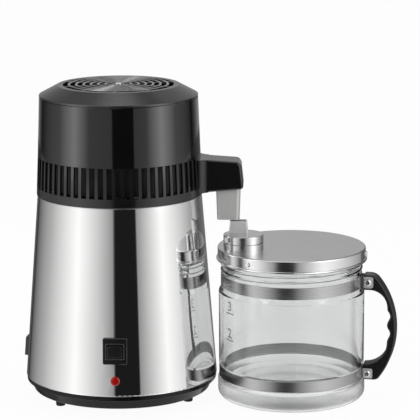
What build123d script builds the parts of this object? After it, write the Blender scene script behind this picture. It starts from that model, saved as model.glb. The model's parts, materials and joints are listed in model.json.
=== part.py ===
from build123d import *
import math
import os

# Countertop water distiller: a boiling base, a fan-cooled condenser head that lifts off it,
# and a glass collecting jug that stands under the head's spout.
# Millimetres and degrees. The counter is z = 0, the spout points along +X and the switch
# faces -Y. Body pieces are drawn about the body's axis and jug pieces about the jug's axis.

# Clearances
SEAT_GAP = 0.2          # between flat faces of pieces that rest on each other
SLIDE_GAP = 0.3         # around a piece that lifts, slides or turns
FIT_GAP = 0.1           # around a piece fixed in a hole or against a curved wall
SHAFT_GAP = 0.05        # around the fan shaft
DROP_GAP = 1.6          # between the nozzle's mouth and the chute below it
OVERCUT = 1.0           # how far a cut runs past the face it goes through

# Edges that are rounded alike
FINE_EDGE = 0.5
SOFT_EDGE = 1.0
FULL_EDGE = 2.0
DOMED_SHARE = 0.7       # share of a domed head's height that its rounded edge takes
PUFFED_SHARE = 0.4      # share of a soft sachet's height that its rounded edge takes

# Base
FOOT_HEIGHT = 11.0
FOOT_RADIUS = 6.4
FOOT_TAPER = 1.0
FOOT_STUD_RADIUS = 3.5
FOOT_INSET = 17.5       # from the pan's lower edge in to the middle of a foot
FOOT_COUNT = 3
FOOT_START = 97.5
PAN_BAND_TAPER = 5.5
PAN_BAND_SET_BACK = 3.3
PAN_BAND_HEIGHT = 11.5
PAN_RIM_HEIGHT = 6.3
PAN_RIM_SET_BACK = 0.7
PAN_SPIGOT_HEIGHT = 8.0
PAN_WALL = 2.5
SHELL_BOTTOM_RADIUS = 115.0
SHELL_DRAFT = 17.2      # how much smaller the shell's radius is at its top
SHELL_HEIGHT = 218.0
SHELL_SHEET = 1.0
SHELL_HEM = 2.2
SHELL_HEM_ROUND = 0.9

# Boiling tank and its heater
TANK_AIR_GAP = 11.8     # between the tank's inside and the shell's top edge
UNDER_TANK = 64.0       # from the shell's lower edge up to the tank's floor
TANK_CORNER = 12.0
TANK_SHEET = 1.0
TANK_SEAM_LIFT = 2.0    # from the end of the floor's corner up to the barrel
TANK_FLANGE_SET_BACK = 0.4
HEATER_INSET = 20.0
HEATER_THICKNESS = 6.0
ELEMENT_INSET = 14.0
ELEMENT_TUBE = 4.2
ELEMENT_BEND = 9.0
ELEMENT_SWEEP = 310.0
ELEMENT_TAIL = 26.0
CLAMP_INSET = 2.0
CLAMP_WIDTH = 16.0
CLAMP_THICKNESS = 2.0
CLAMP_BOSS_RADIUS = 5.3
CUTOUT_RADIUS = 9.0
CUTOUT_HEIGHT = 10.0
ROD_RADIUS = 2.5
ROD_COUNT = 3
ROD_START = 60.0
ROD_TAIL = 5.0
NUT_RADIUS = 5.0
NUT_HEIGHT = 4.0

# Switch, lamp and power inlet on the shell
SWITCH_RISE = 53.6
SWITCH_AZIMUTH = -90.0
BEZEL_WIDTH = 28.3
BEZEL_HEIGHT = 31.0
BEZEL_PROUD = 3.0
BEZEL_CORNER = 1.6
BEZEL_LAND = 2.2
COLLAR_WIDTH = 22.0
COLLAR_HEIGHT = 19.0
COLLAR_PROUD = 1.4
BUTTON_WIDTH = 17.0
BUTTON_HEIGHT = 13.5
BUTTON_PROUD = 3.6
BUTTON_TRAVEL = 3.0
BUTTON_LENGTH = 12.0
STEM_WIDTH = 7.0
STEM_LENGTH = 7.0
MODULE_DEPTH = 26.0
SWITCH_WALL = 1.5
BLADE_WIDTH = 6.3
BLADE_THICKNESS = 0.8
BLADE_LENGTH = 8.0
BLADE_SPACING = 12.0
LAMP_RISE = 18.3
LENS_RADIUS = 5.5
LENS_PROUD = 3.6
LAMP_STEM_RADIUS = 4.0
LAMP_LENGTH = 20.0
LAMP_NUT_RADIUS = 7.0
LAMP_NUT_HEIGHT = 3.0
INLET_RISE = 28.7
INLET_AZIMUTH = 172.0
INLET_WIDTH = 30.0
INLET_HEIGHT = 23.0
INLET_PROUD = 3.4
SOCKET_WIDTH = 24.5
SOCKET_HEIGHT = 17.0
SOCKET_DEPTH = 15.0
SOCKET_CHAMFER = 4.5
INLET_WALL = 1.8
PIN_WIDTH = 2.0
PIN_HEIGHT = 4.0
PIN_SPACING = 7.0
PIN_LENGTH = 11.0
PIN_TAIL = 8.0
EARTH_RISE = 4.0

# Fan supply contact between the base and the head, at the back
CONTACT_GAP = 1.3
CONTACT_SPACING = 10.0
CONTACT_PIN_RADIUS = 1.6
CONTACT_PIN_LENGTH = 15.0
CONTACT_HEAD_RADIUS = 2.8
CONTACT_HEAD_HEIGHT = 1.5
CONTACT_BLOCK_WIDTH = 18.0
CONTACT_BLOCK_DEPTH = 6.6
CONTACT_BLOCK_HEIGHT = 16.0

# Head
RING_OVERHANG = 1.0
RING_DRAFT = 2.1
DOME_DRAFT = 2.6
RING_HEIGHT = 46.0
RING_WALL = 3.0
RING_PLAIN_BAND = 10.4
RING_LEDGE = 3.0
RING_MOUTH_LAP = 6.0
RING_SPIGOT_HEIGHT = 9.0
RING_SPIGOT_WALL = 2.2
SLOT_COUNT = 60
SLOT_WIDTH = 6.5
SLOTS_OFF_SPOUT = 17.0
DOME_HEIGHT = 70.1
DOME_WALL = 1.4
DOME_LIP = 7.0
COVER_SHADOW_GAP = 1.3
COVER_RIM_HEIGHT = 1.1
COVER_RIM_ROUND = 1.0
COVER_RISE = 11.6
COVER_WALL = 2.6
CONE_WIDTH = 21.7
GRILLE_BORDER = 6.8
GRILLE_HUB_RADIUS = 8.0
GRILLE_SLOT = 5.8
GRILLE_BAR = 2.8
GRILLE_SPOKES = 10
GRILLE_START = 90.0
GRILLE_SPOKE_WIDTH = 3.0
STUD_RADIUS = 4.4
STUD_HEIGHT = 1.6
PLATE_LAP = 6.5
PLATE_SHEET = 1.2
PLATE_SKIRT_DEPTH = 9.0
PLATE_RISE = 4.0
PLATE_HUB_RADIUS = 30.0
SEAL_HEIGHT = 6.0

# Spout and nozzle
SPOUT_HALF_WIDTH = 20.0
SPOUT_NOSE_LENGTH = 18.4
SPOUT_NOSE_LEAN = 3.5
SPOUT_ROOF_DROP = 1.6
SPOUT_ROOF_FALL = 4.6
SPOUT_FLOOR_LIFT = 1.4
SPOUT_FLOOR_RISE = 6.2
SPOUT_NOSE_ROUND = 7.0
SPOUT_CHIN_ROUND = 4.0
SPOUT_EDGE_ROUND = 3.0
SPOUT_FLARE = 7.0
SPOUT_FLARE_LENGTH = 11.2
SPOUT_WALL = 2.2
NOZZLE_OFF_CUP = 15.2   # from the filter cup's circle on the lid to the nozzle's axis
NOZZLE_TOP_LENGTH = 29.6
NOZZLE_BOTTOM_LENGTH = 26.6
NOZZLE_WIDTH = 28.0
NOZZLE_CORNER = 5.0
NOZZLE_WALL = 1.5
NOZZLE_DROP = 38.0      # from the spout's chin to the nozzle's mouth
NOZZLE_INSET = 4.0      # how far it reaches above the spout's floor

# Condenser coil
COIL_TUBE = 4.5
COIL_BORE = 3.3
COIL_LIFT = 21.0
COIL_INNER_RADIUS = 18.0
COIL_PITCH = 13.0
COIL_WALL_GAP = 9.0
COIL_EXIT_ANGLE = 15.0
COIL_SAMPLES = 900      # points on the tube's line for measuring its gap to itself
COIL_RISER_BEND = 9.0
DRIP_OFFSET = 6.4
DRIP_Y = -7.0
DRIP_BEND = 12.0
DRIP_SET_BACK = 9.0     # from the nozzle's mouth up to the drip end
RISER_NUT_RADIUS = 9.0
RISER_NUT_HEIGHT = 4.0
CLIP_COUNT = 3
CLIP_START = 60.0
CLIP_INNER_RADIUS = 24.0
CLIP_OVERHANG = 5.5
CLIP_LEG_INSETS = (20.0, 4.0)
CLIP_WIDTH = 9.0
CLIP_SHEET = 1.5

# Fan
FAN_POST_RADIUS = 4.0
FAN_POST_INSET = 3.4
FAN_POST_COUNT = 4
FAN_POST_START = 45.0
FAN_POST_LENGTH = 15.0
FAN_ARM_WIDTH = 12.0
FAN_ARM_THICKNESS = 2.5
FAN_HUB_PLATE_RADIUS = 28.0
MOTOR_RADIUS = 24.0
MOTOR_HEIGHT = 27.0
SHAFT_RADIUS = 2.5
SHAFT_GRIP = 16.0
ROTOR_HUB_RADIUS = 17.0
ROTOR_HUB_HEIGHT = 14.0
ROTOR_INSET = 7.0
ROTOR_GAP = 3.0
BLADE_COUNT = 5
BLADE_CHORD = 30.0
BLADE_PITCH = 27.0
BLADE_SHEET = 1.6
SCREW_SHANK_RADIUS = 1.6
SCREW_HEAD_RADIUS = 3.4
SCREW_HEAD_HEIGHT = 2.2
SCREW_DEPTH = 9.0

# Collecting jug
JUG_GAP = 1.6           # between the shell's foot and the jug's widest part
JUG_BULGE_RADIUS = 88.4
JUG_BULGE_ROUND = 9.0
JUG_WAIST_STEP = 2.4
JUG_BODY_STEP = 1.1
JUG_NECK_STEP = 4.6
JUG_NECK_HEIGHT = 43.7
JUG_SHOULDER_HEIGHT = 5.5
JUG_WALL = 4.3
JUG_NECK_WALL = 3.4
JUG_FLOOR = 18.0
JUG_INNER_CORNER = 9.0
JUG_FOOT_WIDTH = 26.4
JUG_PUNT_DEPTH = 8.0
BAND_SHEET = 0.9
UPPER_BAND_LIFT = 1.7
UPPER_BAND_HEIGHT = 14.0
LOWER_BAND_Z = 26.2
LOWER_BAND_HEIGHT = 12.4

# Handle of the jug, in a vertical plane through the jug's axis
HANDLE_AZIMUTH = -10.0
HANDLE_WIDTH = 21.0
HANDLE_TONGUE = 17.0
HANDLE_DEPTH = 38.3
HANDLE_TOP_LIFT = 2.1
HANDLE_FOOT_DROP = 1.2
HANDLE_UPPER_ARM = 18.3
HANDLE_LOWER_ARM = 18.8
HANDLE_GRIP = 6.6
HANDLE_INNER_ROUND = 24.4
HANDLE_GRIP_LIFT = 3.5    # of the finger swells above the middle of the loop
HANDLE_ELBOW_SET_BACK = 25.6
HANDLE_HEEL_SET_BACK = 21.6
HANDLE_UPPER_SWEEP = 65.5
HANDLE_LOWER_SWEEP = 60.8
HANDLE_STRAIGHT = 2.0     # least length of the back between its two sweeps
HANDLE_ELBOW_ROUND = 14.0
HANDLE_HEEL_ROUND = 8.0
SWELL_COUNT = 3
FINGER_SWELL = 1.8
HANDLE_EDGE = 2.0
EAR_LENGTH = 11.4
EAR_ROUND = 3.0
EAR_SCREW_SET_BACK = 6.6
EAR_SCREW_RADIUS = 2.0
EAR_HEAD_RADIUS = 4.2
EAR_HEAD_HEIGHT = 2.4
EAR_NUT_RADIUS = 3.9
EAR_NUT_HEIGHT = 2.6

# Lid of the jug, filter cup, cap and chute
LID_SKIRT_GAP = 3.8
LID_HEIGHT = 15.7
LID_SHEET = 1.0
LID_EDGE = 2.0
LID_BEAD = 1.6
LID_SEAL_HEIGHT = 3.4
LID_SEAL_WIDTH = 7.5
LID_PIN_COUNT = 3
LID_PIN_AZIMUTH = -126.0
LID_PIN_RADIUS = 3.2
LID_PIN_SHANK = 2.0
LID_PIN_HEAD = 1.8
LID_PIN_DROP = 8.0
LID_PIN_REACH = 2.6
CUP_AZIMUTH = 198.0
CUP_INSET = 28.4
CUP_RADIUS = 17.4
CUP_WALL = 1.5
CUP_DEPTH = 16.0
CUP_HOLE_RADIUS = 1.8
CUP_HOLE_CIRCLE = 9.5
CUP_HOLES = 8
BOSS_RADIUS = 23.9
BOSS_HEIGHT = 8.3
SACHET_HEIGHT = 9.0
SACHET_GAP = 0.4
CAP_HEIGHT = 9.6
CAP_NECK_HEIGHT = 1.0
CAP_NECK_INSET = 1.0
CAP_EDGE = 1.0
CAP_PLUG_DEPTH = 5.0
CAP_PLUG_WALL = 2.0
CAP_LUG_AZIMUTH = -142.0
CAP_LUG_LENGTH = 3.0
CAP_LUG_WIDTH = 5.0
CAP_LUG_HEIGHT = 6.0
CHUTE_HEIGHT = 14.0
CHUTE_TOP_LENGTH = 20.0
CHUTE_TOP_DEPTH = 12.0
CHUTE_BOTTOM_LENGTH = 22.8
CHUTE_BOTTOM_DEPTH = 12.6
CHUTE_CORNER = 1.5
CHUTE_WALL = 1.2
CHUTE_X = -6.0
CHUTE_Y = 10.0

# Heights worked out from the counter up
PAN_RIM_Z = FOOT_HEIGHT + PAN_BAND_HEIGHT
SHELL_Z = PAN_RIM_Z + PAN_RIM_HEIGHT
SHELL_TOP_Z = SHELL_Z + SHELL_HEIGHT
SWITCH_Z = SHELL_Z + SWITCH_RISE
LAMP_Z = SHELL_Z + LAMP_RISE
INLET_Z = SHELL_Z + INLET_RISE
TANK_FLOOR_Z = SHELL_Z + UNDER_TANK
TANK_UNDER_Z = TANK_FLOOR_Z - TANK_SHEET
TANK_RIM_Z = SHELL_TOP_Z + TANK_SHEET
TANK_SEAM_Z = TANK_FLOOR_Z + TANK_CORNER + TANK_SEAM_LIFT
HEATER_Z = TANK_UNDER_Z - HEATER_THICKNESS
HEAD_Z = TANK_RIM_Z + SEAT_GAP
LEDGE_TOP_Z = HEAD_Z + RING_LEDGE
RING_TOP_Z = HEAD_Z + RING_HEIGHT
DOME_Z = RING_TOP_Z + SEAT_GAP
DOME_TOP_Z = DOME_Z + DOME_HEIGHT
COVER_Z = DOME_TOP_Z + COVER_SHADOW_GAP
COVER_SHOULDER_Z = COVER_Z + COVER_RIM_HEIGHT
GRILLE_Z = COVER_SHOULDER_Z + COVER_RISE
POST_END_Z = GRILLE_Z - COVER_WALL - FAN_POST_LENGTH
MOUNT_Z = POST_END_Z - FAN_ARM_THICKNESS
MOTOR_Z = MOUNT_Z - MOTOR_HEIGHT
ROTOR_Z = MOTOR_Z - ROTOR_GAP - ROTOR_HUB_HEIGHT
COIL_Z = LEDGE_TOP_Z + COIL_LIFT
SPOUT_ROOF_Z = RING_TOP_Z - SPOUT_ROOF_DROP
SPOUT_NOSE_Z = SPOUT_ROOF_Z - SPOUT_ROOF_FALL
SPOUT_FLOOR_Z = HEAD_Z + SPOUT_FLOOR_LIFT
SPOUT_CHIN_Z = SPOUT_FLOOR_Z + SPOUT_FLOOR_RISE
NOZZLE_MOUTH_Z = SPOUT_CHIN_Z - NOZZLE_DROP

# Heights of the jug, worked out from the nozzle's mouth down
CHUTE_TOP_Z = NOZZLE_MOUTH_Z - DROP_GAP
CAP_TOP_Z = CHUTE_TOP_Z - CHUTE_HEIGHT
CAP_Z = CAP_TOP_Z - CAP_HEIGHT
BOSS_TOP_Z = CAP_Z - SLIDE_GAP
LID_TOP_Z = BOSS_TOP_Z - BOSS_HEIGHT
LID_UNDER_Z = LID_TOP_Z - LID_SHEET
LID_SEAL_Z = LID_UNDER_Z - LID_SEAL_HEIGHT
JUG_HEIGHT = LID_SEAL_Z - SEAT_GAP
JUG_NECK_Z = JUG_HEIGHT - JUG_NECK_HEIGHT
JUG_SHOULDER_Z = JUG_NECK_Z - JUG_SHOULDER_HEIGHT
UPPER_BAND_Z = JUG_NECK_Z + UPPER_BAND_LIFT
HANDLE_TOP_Z = UPPER_BAND_Z + UPPER_BAND_HEIGHT + HANDLE_TOP_LIFT
HANDLE_BOTTOM_Z = LOWER_BAND_Z - HANDLE_FOOT_DROP

# Radii worked out from the shell's and the jug's widest circles
SHELL_TOP_RADIUS = SHELL_BOTTOM_RADIUS - SHELL_DRAFT
SHELL_TAPER = math.degrees(math.atan(SHELL_DRAFT / SHELL_HEIGHT))
PAN_RIM_RADIUS = SHELL_BOTTOM_RADIUS - PAN_RIM_SET_BACK
PAN_SPIGOT_RADIUS = SHELL_BOTTOM_RADIUS - SHELL_HEM - FIT_GAP
PAN_BAND_RADIUS = PAN_RIM_RADIUS - PAN_BAND_SET_BACK
PAN_BOTTOM_RADIUS = PAN_BAND_RADIUS - PAN_BAND_TAPER
FOOT_CIRCLE = PAN_BOTTOM_RADIUS - FOOT_INSET
TANK_RADIUS = SHELL_TOP_RADIUS - TANK_AIR_GAP
HEATER_RADIUS = TANK_RADIUS - HEATER_INSET
ELEMENT_CIRCLE = HEATER_RADIUS - ELEMENT_INSET
CLAMP_LENGTH = 2 * (HEATER_RADIUS - CLAMP_INSET)
CUTOUT_OFFSET = (CLAMP_BOSS_RADIUS + ELEMENT_CIRCLE - ELEMENT_TUBE) / 2
ROD_CIRCLE = TANK_RADIUS - TANK_CORNER
CONTACT_CIRCLE = TANK_RADIUS + TANK_SHEET + CONTACT_GAP + CONTACT_BLOCK_DEPTH / 2
RING_BOTTOM_RADIUS = SHELL_TOP_RADIUS + RING_OVERHANG
RING_MOUTH_RADIUS = TANK_RADIUS - RING_MOUTH_LAP
PLATE_RADIUS = RING_MOUTH_RADIUS + PLATE_LAP
DOME_BOTTOM_RADIUS = RING_BOTTOM_RADIUS - RING_DRAFT
DOME_TOP_RADIUS = DOME_BOTTOM_RADIUS - DOME_DRAFT
GRILLE_RIM_RADIUS = DOME_TOP_RADIUS - CONE_WIDTH
GRILLE_OUTER_RADIUS = GRILLE_RIM_RADIUS - GRILLE_BORDER
GRILLE_RINGS = int((GRILLE_OUTER_RADIUS - GRILLE_HUB_RADIUS + GRILLE_BAR) / (GRILLE_SLOT + GRILLE_BAR))
FAN_POST_CIRCLE = GRILLE_RIM_RADIUS - FAN_POST_INSET
ROTOR_RADIUS = FAN_POST_CIRCLE - ROTOR_INSET
JUG_WAIST_RADIUS = JUG_BULGE_RADIUS - JUG_WAIST_STEP
JUG_BODY_RADIUS = JUG_BULGE_RADIUS - JUG_BODY_STEP
JUG_NECK_RADIUS = JUG_BULGE_RADIUS - JUG_NECK_STEP
JUG_INNER_RADIUS = JUG_BODY_RADIUS - JUG_WALL
JUG_PUNT_RADIUS = JUG_BULGE_RADIUS - JUG_FOOT_WIDTH
LID_RADIUS = JUG_NECK_RADIUS + LID_SKIRT_GAP + LID_SHEET
CUP_CIRCLE = LID_RADIUS - CUP_INSET
HANDLE_ROOT = JUG_BULGE_RADIUS + SEAT_GAP
HANDLE_REACH = HANDLE_ROOT + HANDLE_DEPTH
EAR_REACH = HANDLE_ROOT + EAR_LENGTH

# Places along the spout's line, from the body's axis
JUG_DISTANCE = SHELL_BOTTOM_RADIUS + JUG_GAP + JUG_BULGE_RADIUS
NOZZLE_X = JUG_DISTANCE - CUP_CIRCLE - NOZZLE_OFF_CUP
DRIP_X = NOZZLE_X + DRIP_OFFSET
SPOUT_REACH = NOZZLE_X + SPOUT_NOSE_LENGTH
SPOUT_TOP_REACH = SPOUT_REACH - SPOUT_NOSE_LEAN

# The spiral takes as many whole turns as the ring leaves room for, and then half a turn
COIL_ROOM = DOME_BOTTOM_RADIUS - RING_WALL - COIL_WALL_GAP - COIL_TUBE - COIL_PITCH / 4
COIL_TURNS = int((COIL_ROOM - COIL_INNER_RADIUS - COIL_PITCH / 2) / COIL_PITCH)
COIL_HALF_TURNS = 2 * COIL_TURNS + 1

# The finger grip: its corner rounds are limited by the loop, and the swells share what is left
GRIP_HIGH_Z = HANDLE_TOP_Z - HANDLE_UPPER_ARM
GRIP_LOW_Z = HANDLE_BOTTOM_Z + HANDLE_LOWER_ARM
GRIP_LEVEL = HANDLE_REACH - HANDLE_GRIP - FINGER_SWELL
GRIP_CREST = GRIP_LEVEL - FINGER_SWELL
GRIP_HEIGHT = GRIP_HIGH_Z - GRIP_LOW_Z
GRIP_CORNER = min(HANDLE_INNER_ROUND, GRIP_HEIGHT / 3, GRIP_CREST - HANDLE_ROOT - HANDLE_GRIP_LIFT)
FINGER_PITCH = (GRIP_HEIGHT - 2 * GRIP_CORNER) / (SWELL_COUNT - 1)
HANDLE_ELBOW = HANDLE_REACH - HANDLE_ELBOW_SET_BACK
HANDLE_HEEL = HANDLE_REACH - HANDLE_HEEL_SET_BACK
SWEEP_ROOM = HANDLE_TOP_Z - HANDLE_BOTTOM_Z - HANDLE_STRAIGHT
SWEEP_SHARE = min(1.0, SWEEP_ROOM / (HANDLE_UPPER_SWEEP + HANDLE_LOWER_SWEEP))

# The body and the jug stand evenly about the middle
LEFT_REACH = SHELL_BOTTOM_RADIUS
RIGHT_REACH = JUG_DISTANCE + HANDLE_REACH
BODY_X = (LEFT_REACH - RIGHT_REACH) / 2
JUG_X = BODY_X + JUG_DISTANCE

STANDING = (Align.CENTER, Align.CENTER, Align.MIN)
HANGING = (Align.CENTER, Align.CENTER, Align.MAX)


def outline(corners):
    """Closed face in the XZ plane from corners given as (x, z, corner radius)."""
    points = [(x, z) for x, z, _ in corners]
    radii = [radius for _, _, radius in corners]
    return make_face(Plane.XZ * FilletPolyline(*points, radius=radii, close=True))


def turned(corners):
    """Solid of revolution about Z from corners given as (radius, z, corner radius)."""
    return revolve(outline(corners), Axis.Z)


def post(radius, low, high):
    """Upright cylinder on the Z axis between two heights."""
    return Pos(0, 0, low) * Cylinder(radius, high - low, align=STANDING)


def tube(outer, inner, low, high):
    """Upright tube on the Z axis between two heights."""
    return post(outer, low, high) - post(inner, low - OVERCUT, high + OVERCUT)


def around(count, circle, start=0.0):
    """Places evenly spaced on a circle, each facing outward."""
    return [Rot(0, 0, start + 360 * i / count) * Pos(circle, 0, 0) for i in range(count)]


def group(solids):
    """Separate solids kept together as one named piece."""
    return Compound(list(solids))


def shell_radius(z):
    """Outer radius of the steel shell at a height."""
    share = (z - SHELL_Z) / SHELL_HEIGHT
    return SHELL_BOTTOM_RADIUS + (SHELL_TOP_RADIUS - SHELL_BOTTOM_RADIUS) * share


def wall_place(z, azimuth):
    """Place on the shell's face: x along the wall, y up the wall, z straight out of it."""
    angle = math.radians(azimuth)
    lean = math.radians(SHELL_TAPER)
    radius = shell_radius(z)
    along = (-math.sin(angle), math.cos(angle), 0)
    out = (math.cos(angle) * math.cos(lean), math.sin(angle) * math.cos(lean), math.sin(lean))
    origin = (radius * math.cos(angle), radius * math.sin(angle), z)
    return Plane(origin=origin, x_dir=along, z_dir=out)


SWITCH_PLACE = wall_place(SWITCH_Z, SWITCH_AZIMUTH)
LAMP_PLACE = wall_place(LAMP_Z, SWITCH_AZIMUTH)
INLET_PLACE = wall_place(INLET_Z, INLET_AZIMUTH)


def shell_core(gap):
    """The space inside the shell's outer face, grown by a gap, for seating pieces on it."""
    bottom = (SHELL_BOTTOM_RADIUS + gap, SHELL_Z, 0)
    top = (SHELL_TOP_RADIUS + gap, SHELL_TOP_Z, 0)
    return turned([(0, SHELL_Z, 0), bottom, top, (0, SHELL_TOP_Z, 0)])


def make_base_pan():
    """Moulded pan: tapered band, black rim that carries the shell, spigot inside the shell."""
    inner = PAN_SPIGOT_RADIUS - PAN_WALL
    floor = FOOT_HEIGHT + PAN_WALL
    top = SHELL_Z + PAN_SPIGOT_HEIGHT
    pan = turned([
        (0, FOOT_HEIGHT, 0),
        (PAN_BOTTOM_RADIUS, FOOT_HEIGHT, FULL_EDGE),
        (PAN_BAND_RADIUS, PAN_RIM_Z, 0),
        (PAN_RIM_RADIUS, PAN_RIM_Z, SOFT_EDGE),
        (PAN_RIM_RADIUS, SHELL_Z, 0),
        (PAN_SPIGOT_RADIUS, SHELL_Z, 0),
        (PAN_SPIGOT_RADIUS, top, FINE_EDGE),
        (inner, top, FINE_EDGE),
        (inner, PAN_RIM_Z, 0),
        (PAN_BOTTOM_RADIUS - PAN_WALL, floor, 0),
        (0, floor, 0),
    ])
    for place in around(FOOT_COUNT, FOOT_CIRCLE, FOOT_START):
        pan -= place * post(FOOT_STUD_RADIUS + FIT_GAP, 0, floor + OVERCUT)
    for place in around(ROD_COUNT, ROD_CIRCLE, ROD_START):
        pan -= place * post(ROD_RADIUS + FIT_GAP, 0, floor + OVERCUT)
    return pan


def make_rubber_feet():
    """Tapered rubber feet whose studs are pushed up through the pan's floor."""
    foot = turned([
        (0, 0, 0),
        (FOOT_RADIUS - FOOT_TAPER, 0, SOFT_EDGE),
        (FOOT_RADIUS, FOOT_HEIGHT, 0),
        (FOOT_STUD_RADIUS, FOOT_HEIGHT, 0),
        (FOOT_STUD_RADIUS, FOOT_HEIGHT + PAN_WALL, 0),
        (0, FOOT_HEIGHT + PAN_WALL, 0),
    ])
    return group(place * foot for place in around(FOOT_COUNT, FOOT_CIRCLE, FOOT_START))


def make_outer_shell():
    """Polished steel skirt with a hem turned in at the bottom."""
    shell = turned([
        (SHELL_BOTTOM_RADIUS - SHELL_HEM, SHELL_Z, 0),
        (SHELL_BOTTOM_RADIUS, SHELL_Z, SHELL_HEM_ROUND),
        (SHELL_TOP_RADIUS, SHELL_TOP_Z, 0),
        (SHELL_TOP_RADIUS - SHELL_SHEET, SHELL_TOP_Z, 0),
        (shell_radius(SHELL_Z + SHELL_SHEET) - SHELL_SHEET, SHELL_Z + SHELL_SHEET, 0),
        (SHELL_BOTTOM_RADIUS - SHELL_HEM, SHELL_Z + SHELL_SHEET, 0),
    ])
    window = Box(BEZEL_WIDTH - 2 * BEZEL_LAND, BEZEL_HEIGHT - 2 * BEZEL_LAND, MODULE_DEPTH)
    shell -= SWITCH_PLACE * window
    shell -= LAMP_PLACE * Cylinder(LAMP_STEM_RADIUS + FIT_GAP, LAMP_LENGTH)
    inlet_hole = Box(SOCKET_WIDTH + 2 * INLET_WALL, SOCKET_HEIGHT + 2 * INLET_WALL, SOCKET_DEPTH)
    shell -= INLET_PLACE * inlet_hole
    return shell


def make_boiling_tank():
    """Rolled barrel of the tank, welded to its floor below and to its rim above."""
    return tube(TANK_RADIUS + TANK_SHEET, TANK_RADIUS, TANK_SEAM_Z, SHELL_TOP_Z)


def make_tank_floor():
    """Pressed floor of the tank with a rounded corner that turns up to the seam."""
    wall = TANK_RADIUS + TANK_SHEET
    return turned([
        (0, TANK_UNDER_Z, 0),
        (wall, TANK_UNDER_Z, TANK_CORNER + TANK_SHEET),
        (wall, TANK_SEAM_Z, 0),
        (TANK_RADIUS, TANK_SEAM_Z, 0),
        (TANK_RADIUS, TANK_FLOOR_Z, TANK_CORNER),
        (0, TANK_FLOOR_Z, 0),
    ])


def make_tank_rim():
    """Flat ring by which the tank hangs from the shell's top edge, with holes for the contacts."""
    flange = SHELL_TOP_RADIUS + TANK_FLANGE_SET_BACK
    rim = tube(flange, TANK_RADIUS, SHELL_TOP_Z, TANK_RIM_Z)
    hole = post(CONTACT_PIN_RADIUS + SLIDE_GAP, SHELL_TOP_Z - OVERCUT, TANK_RIM_Z + OVERCUT)
    for side in contact_sides():
        rim -= side * hole
    return rim


def make_heater_plate():
    """Aluminium plate that spreads the heat under the tank."""
    low = HEATER_Z
    high = TANK_UNDER_Z
    edge = SOFT_EDGE
    return turned([(0, low, 0), (HEATER_RADIUS, low, edge), (HEATER_RADIUS, high, edge), (0, high, 0)])


def element_path():
    """Line of the element: a tail up, a bend, the open ring, a bend and a tail down."""
    centre = HEATER_Z - FIT_GAP - ELEMENT_TUBE
    radius = ELEMENT_CIRCLE
    bend = ELEMENT_BEND
    foot = (radius, -bend, centre - ELEMENT_TAIL)
    knee = (radius, -bend, centre - bend)
    middle = (radius, arc_mid(bend) - bend, centre - arc_mid(bend))
    rise = [Line(foot, knee), ThreePointArc(knee, middle, (radius, 0, centre))]
    fall = [Rot(0, 0, ELEMENT_SWEEP) * mirror(edge, Plane.XZ).edge() for edge in rise]
    start, half, end = [Rot(0, 0, ELEMENT_SWEEP * share) * Pos(radius, 0, centre) for share in (0, 0.5, 1)]
    ring = ThreePointArc(start.position, half.position, end.position)
    return Wire([rise[0], rise[1], ring, fall[1], fall[0]])


def make_heating_element():
    """Tubular element bent to an open ring under the plate, with two tails."""
    path = element_path()
    return sweep(Plane(origin=path @ 0, z_dir=path % 0) * Circle(ELEMENT_TUBE), path)


def make_element_clamp():
    """Strap across the ring that presses the element to the plate."""
    under = HEATER_Z - 2 * ELEMENT_TUBE - 2 * FIT_GAP
    strap = Box(CLAMP_LENGTH, CLAMP_WIDTH, CLAMP_THICKNESS, align=HANGING)
    strap = Rot(0, 0, ELEMENT_SWEEP / 2 + 90) * Pos(0, 0, under) * strap
    return strap + post(CLAMP_BOSS_RADIUS, under - CLAMP_THICKNESS, HEATER_Z)


def make_thermal_cutout():
    """Disc thermostat on the plate, inside the ring, with two blades."""
    body = post(CUTOUT_RADIUS, HEATER_Z - CUTOUT_HEIGHT, HEATER_Z)
    blade = Box(BLADE_THICKNESS, BLADE_WIDTH, BLADE_LENGTH, align=HANGING)
    for side in (-1, 1):
        body += Pos(side * CUTOUT_RADIUS / 2, 0, HEATER_Z - CUTOUT_HEIGHT) * blade
    return Rot(0, 0, ELEMENT_SWEEP / 2) * Pos(CUTOUT_OFFSET, 0, 0) * body


def make_tie_rods():
    """Rods welded under the tank that draw the pan up against the shell."""
    rod = post(ROD_RADIUS, FOOT_HEIGHT - ROD_TAIL, TANK_UNDER_Z)
    return group(place * rod for place in around(ROD_COUNT, ROD_CIRCLE, ROD_START))


def make_base_nuts():
    """Hexagon nuts on the rods, under the pan."""
    nut = extrude(RegularPolygon(NUT_RADIUS, 6), NUT_HEIGHT)
    nut = Pos(0, 0, FOOT_HEIGHT - NUT_HEIGHT) * nut
    nut -= post(ROD_RADIUS + SHAFT_GAP, 0, FOOT_HEIGHT + OVERCUT)
    return group(place * nut for place in around(ROD_COUNT, ROD_CIRCLE, ROD_START))


def make_switch_bezel():
    """Square bezel seated on the steel, with a raised collar round the button."""
    seat = BEZEL_PROUD + BEZEL_WIDTH / 6
    plate = extrude(RectangleRounded(BEZEL_WIDTH, BEZEL_HEIGHT, BEZEL_CORNER), -seat)
    plate = Pos(0, 0, BEZEL_PROUD) * plate
    plate = chamfer(plate.faces().sort_by(Axis.Z)[-1].edges(), BEZEL_CORNER / 2)
    collar = extrude(RectangleRounded(COLLAR_WIDTH, COLLAR_HEIGHT, BEZEL_CORNER), COLLAR_PROUD)
    plate += Pos(0, 0, BEZEL_PROUD) * collar
    width = BUTTON_WIDTH + 2 * SLIDE_GAP
    height = BUTTON_HEIGHT + 2 * SLIDE_GAP
    plate -= Box(width, height, 4 * seat)
    module_hole = Box(module_width(), module_height(), seat, align=HANGING)
    plate -= Pos(0, 0, FIT_GAP) * module_hole
    return SWITCH_PLACE * plate - shell_core(FIT_GAP)


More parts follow.
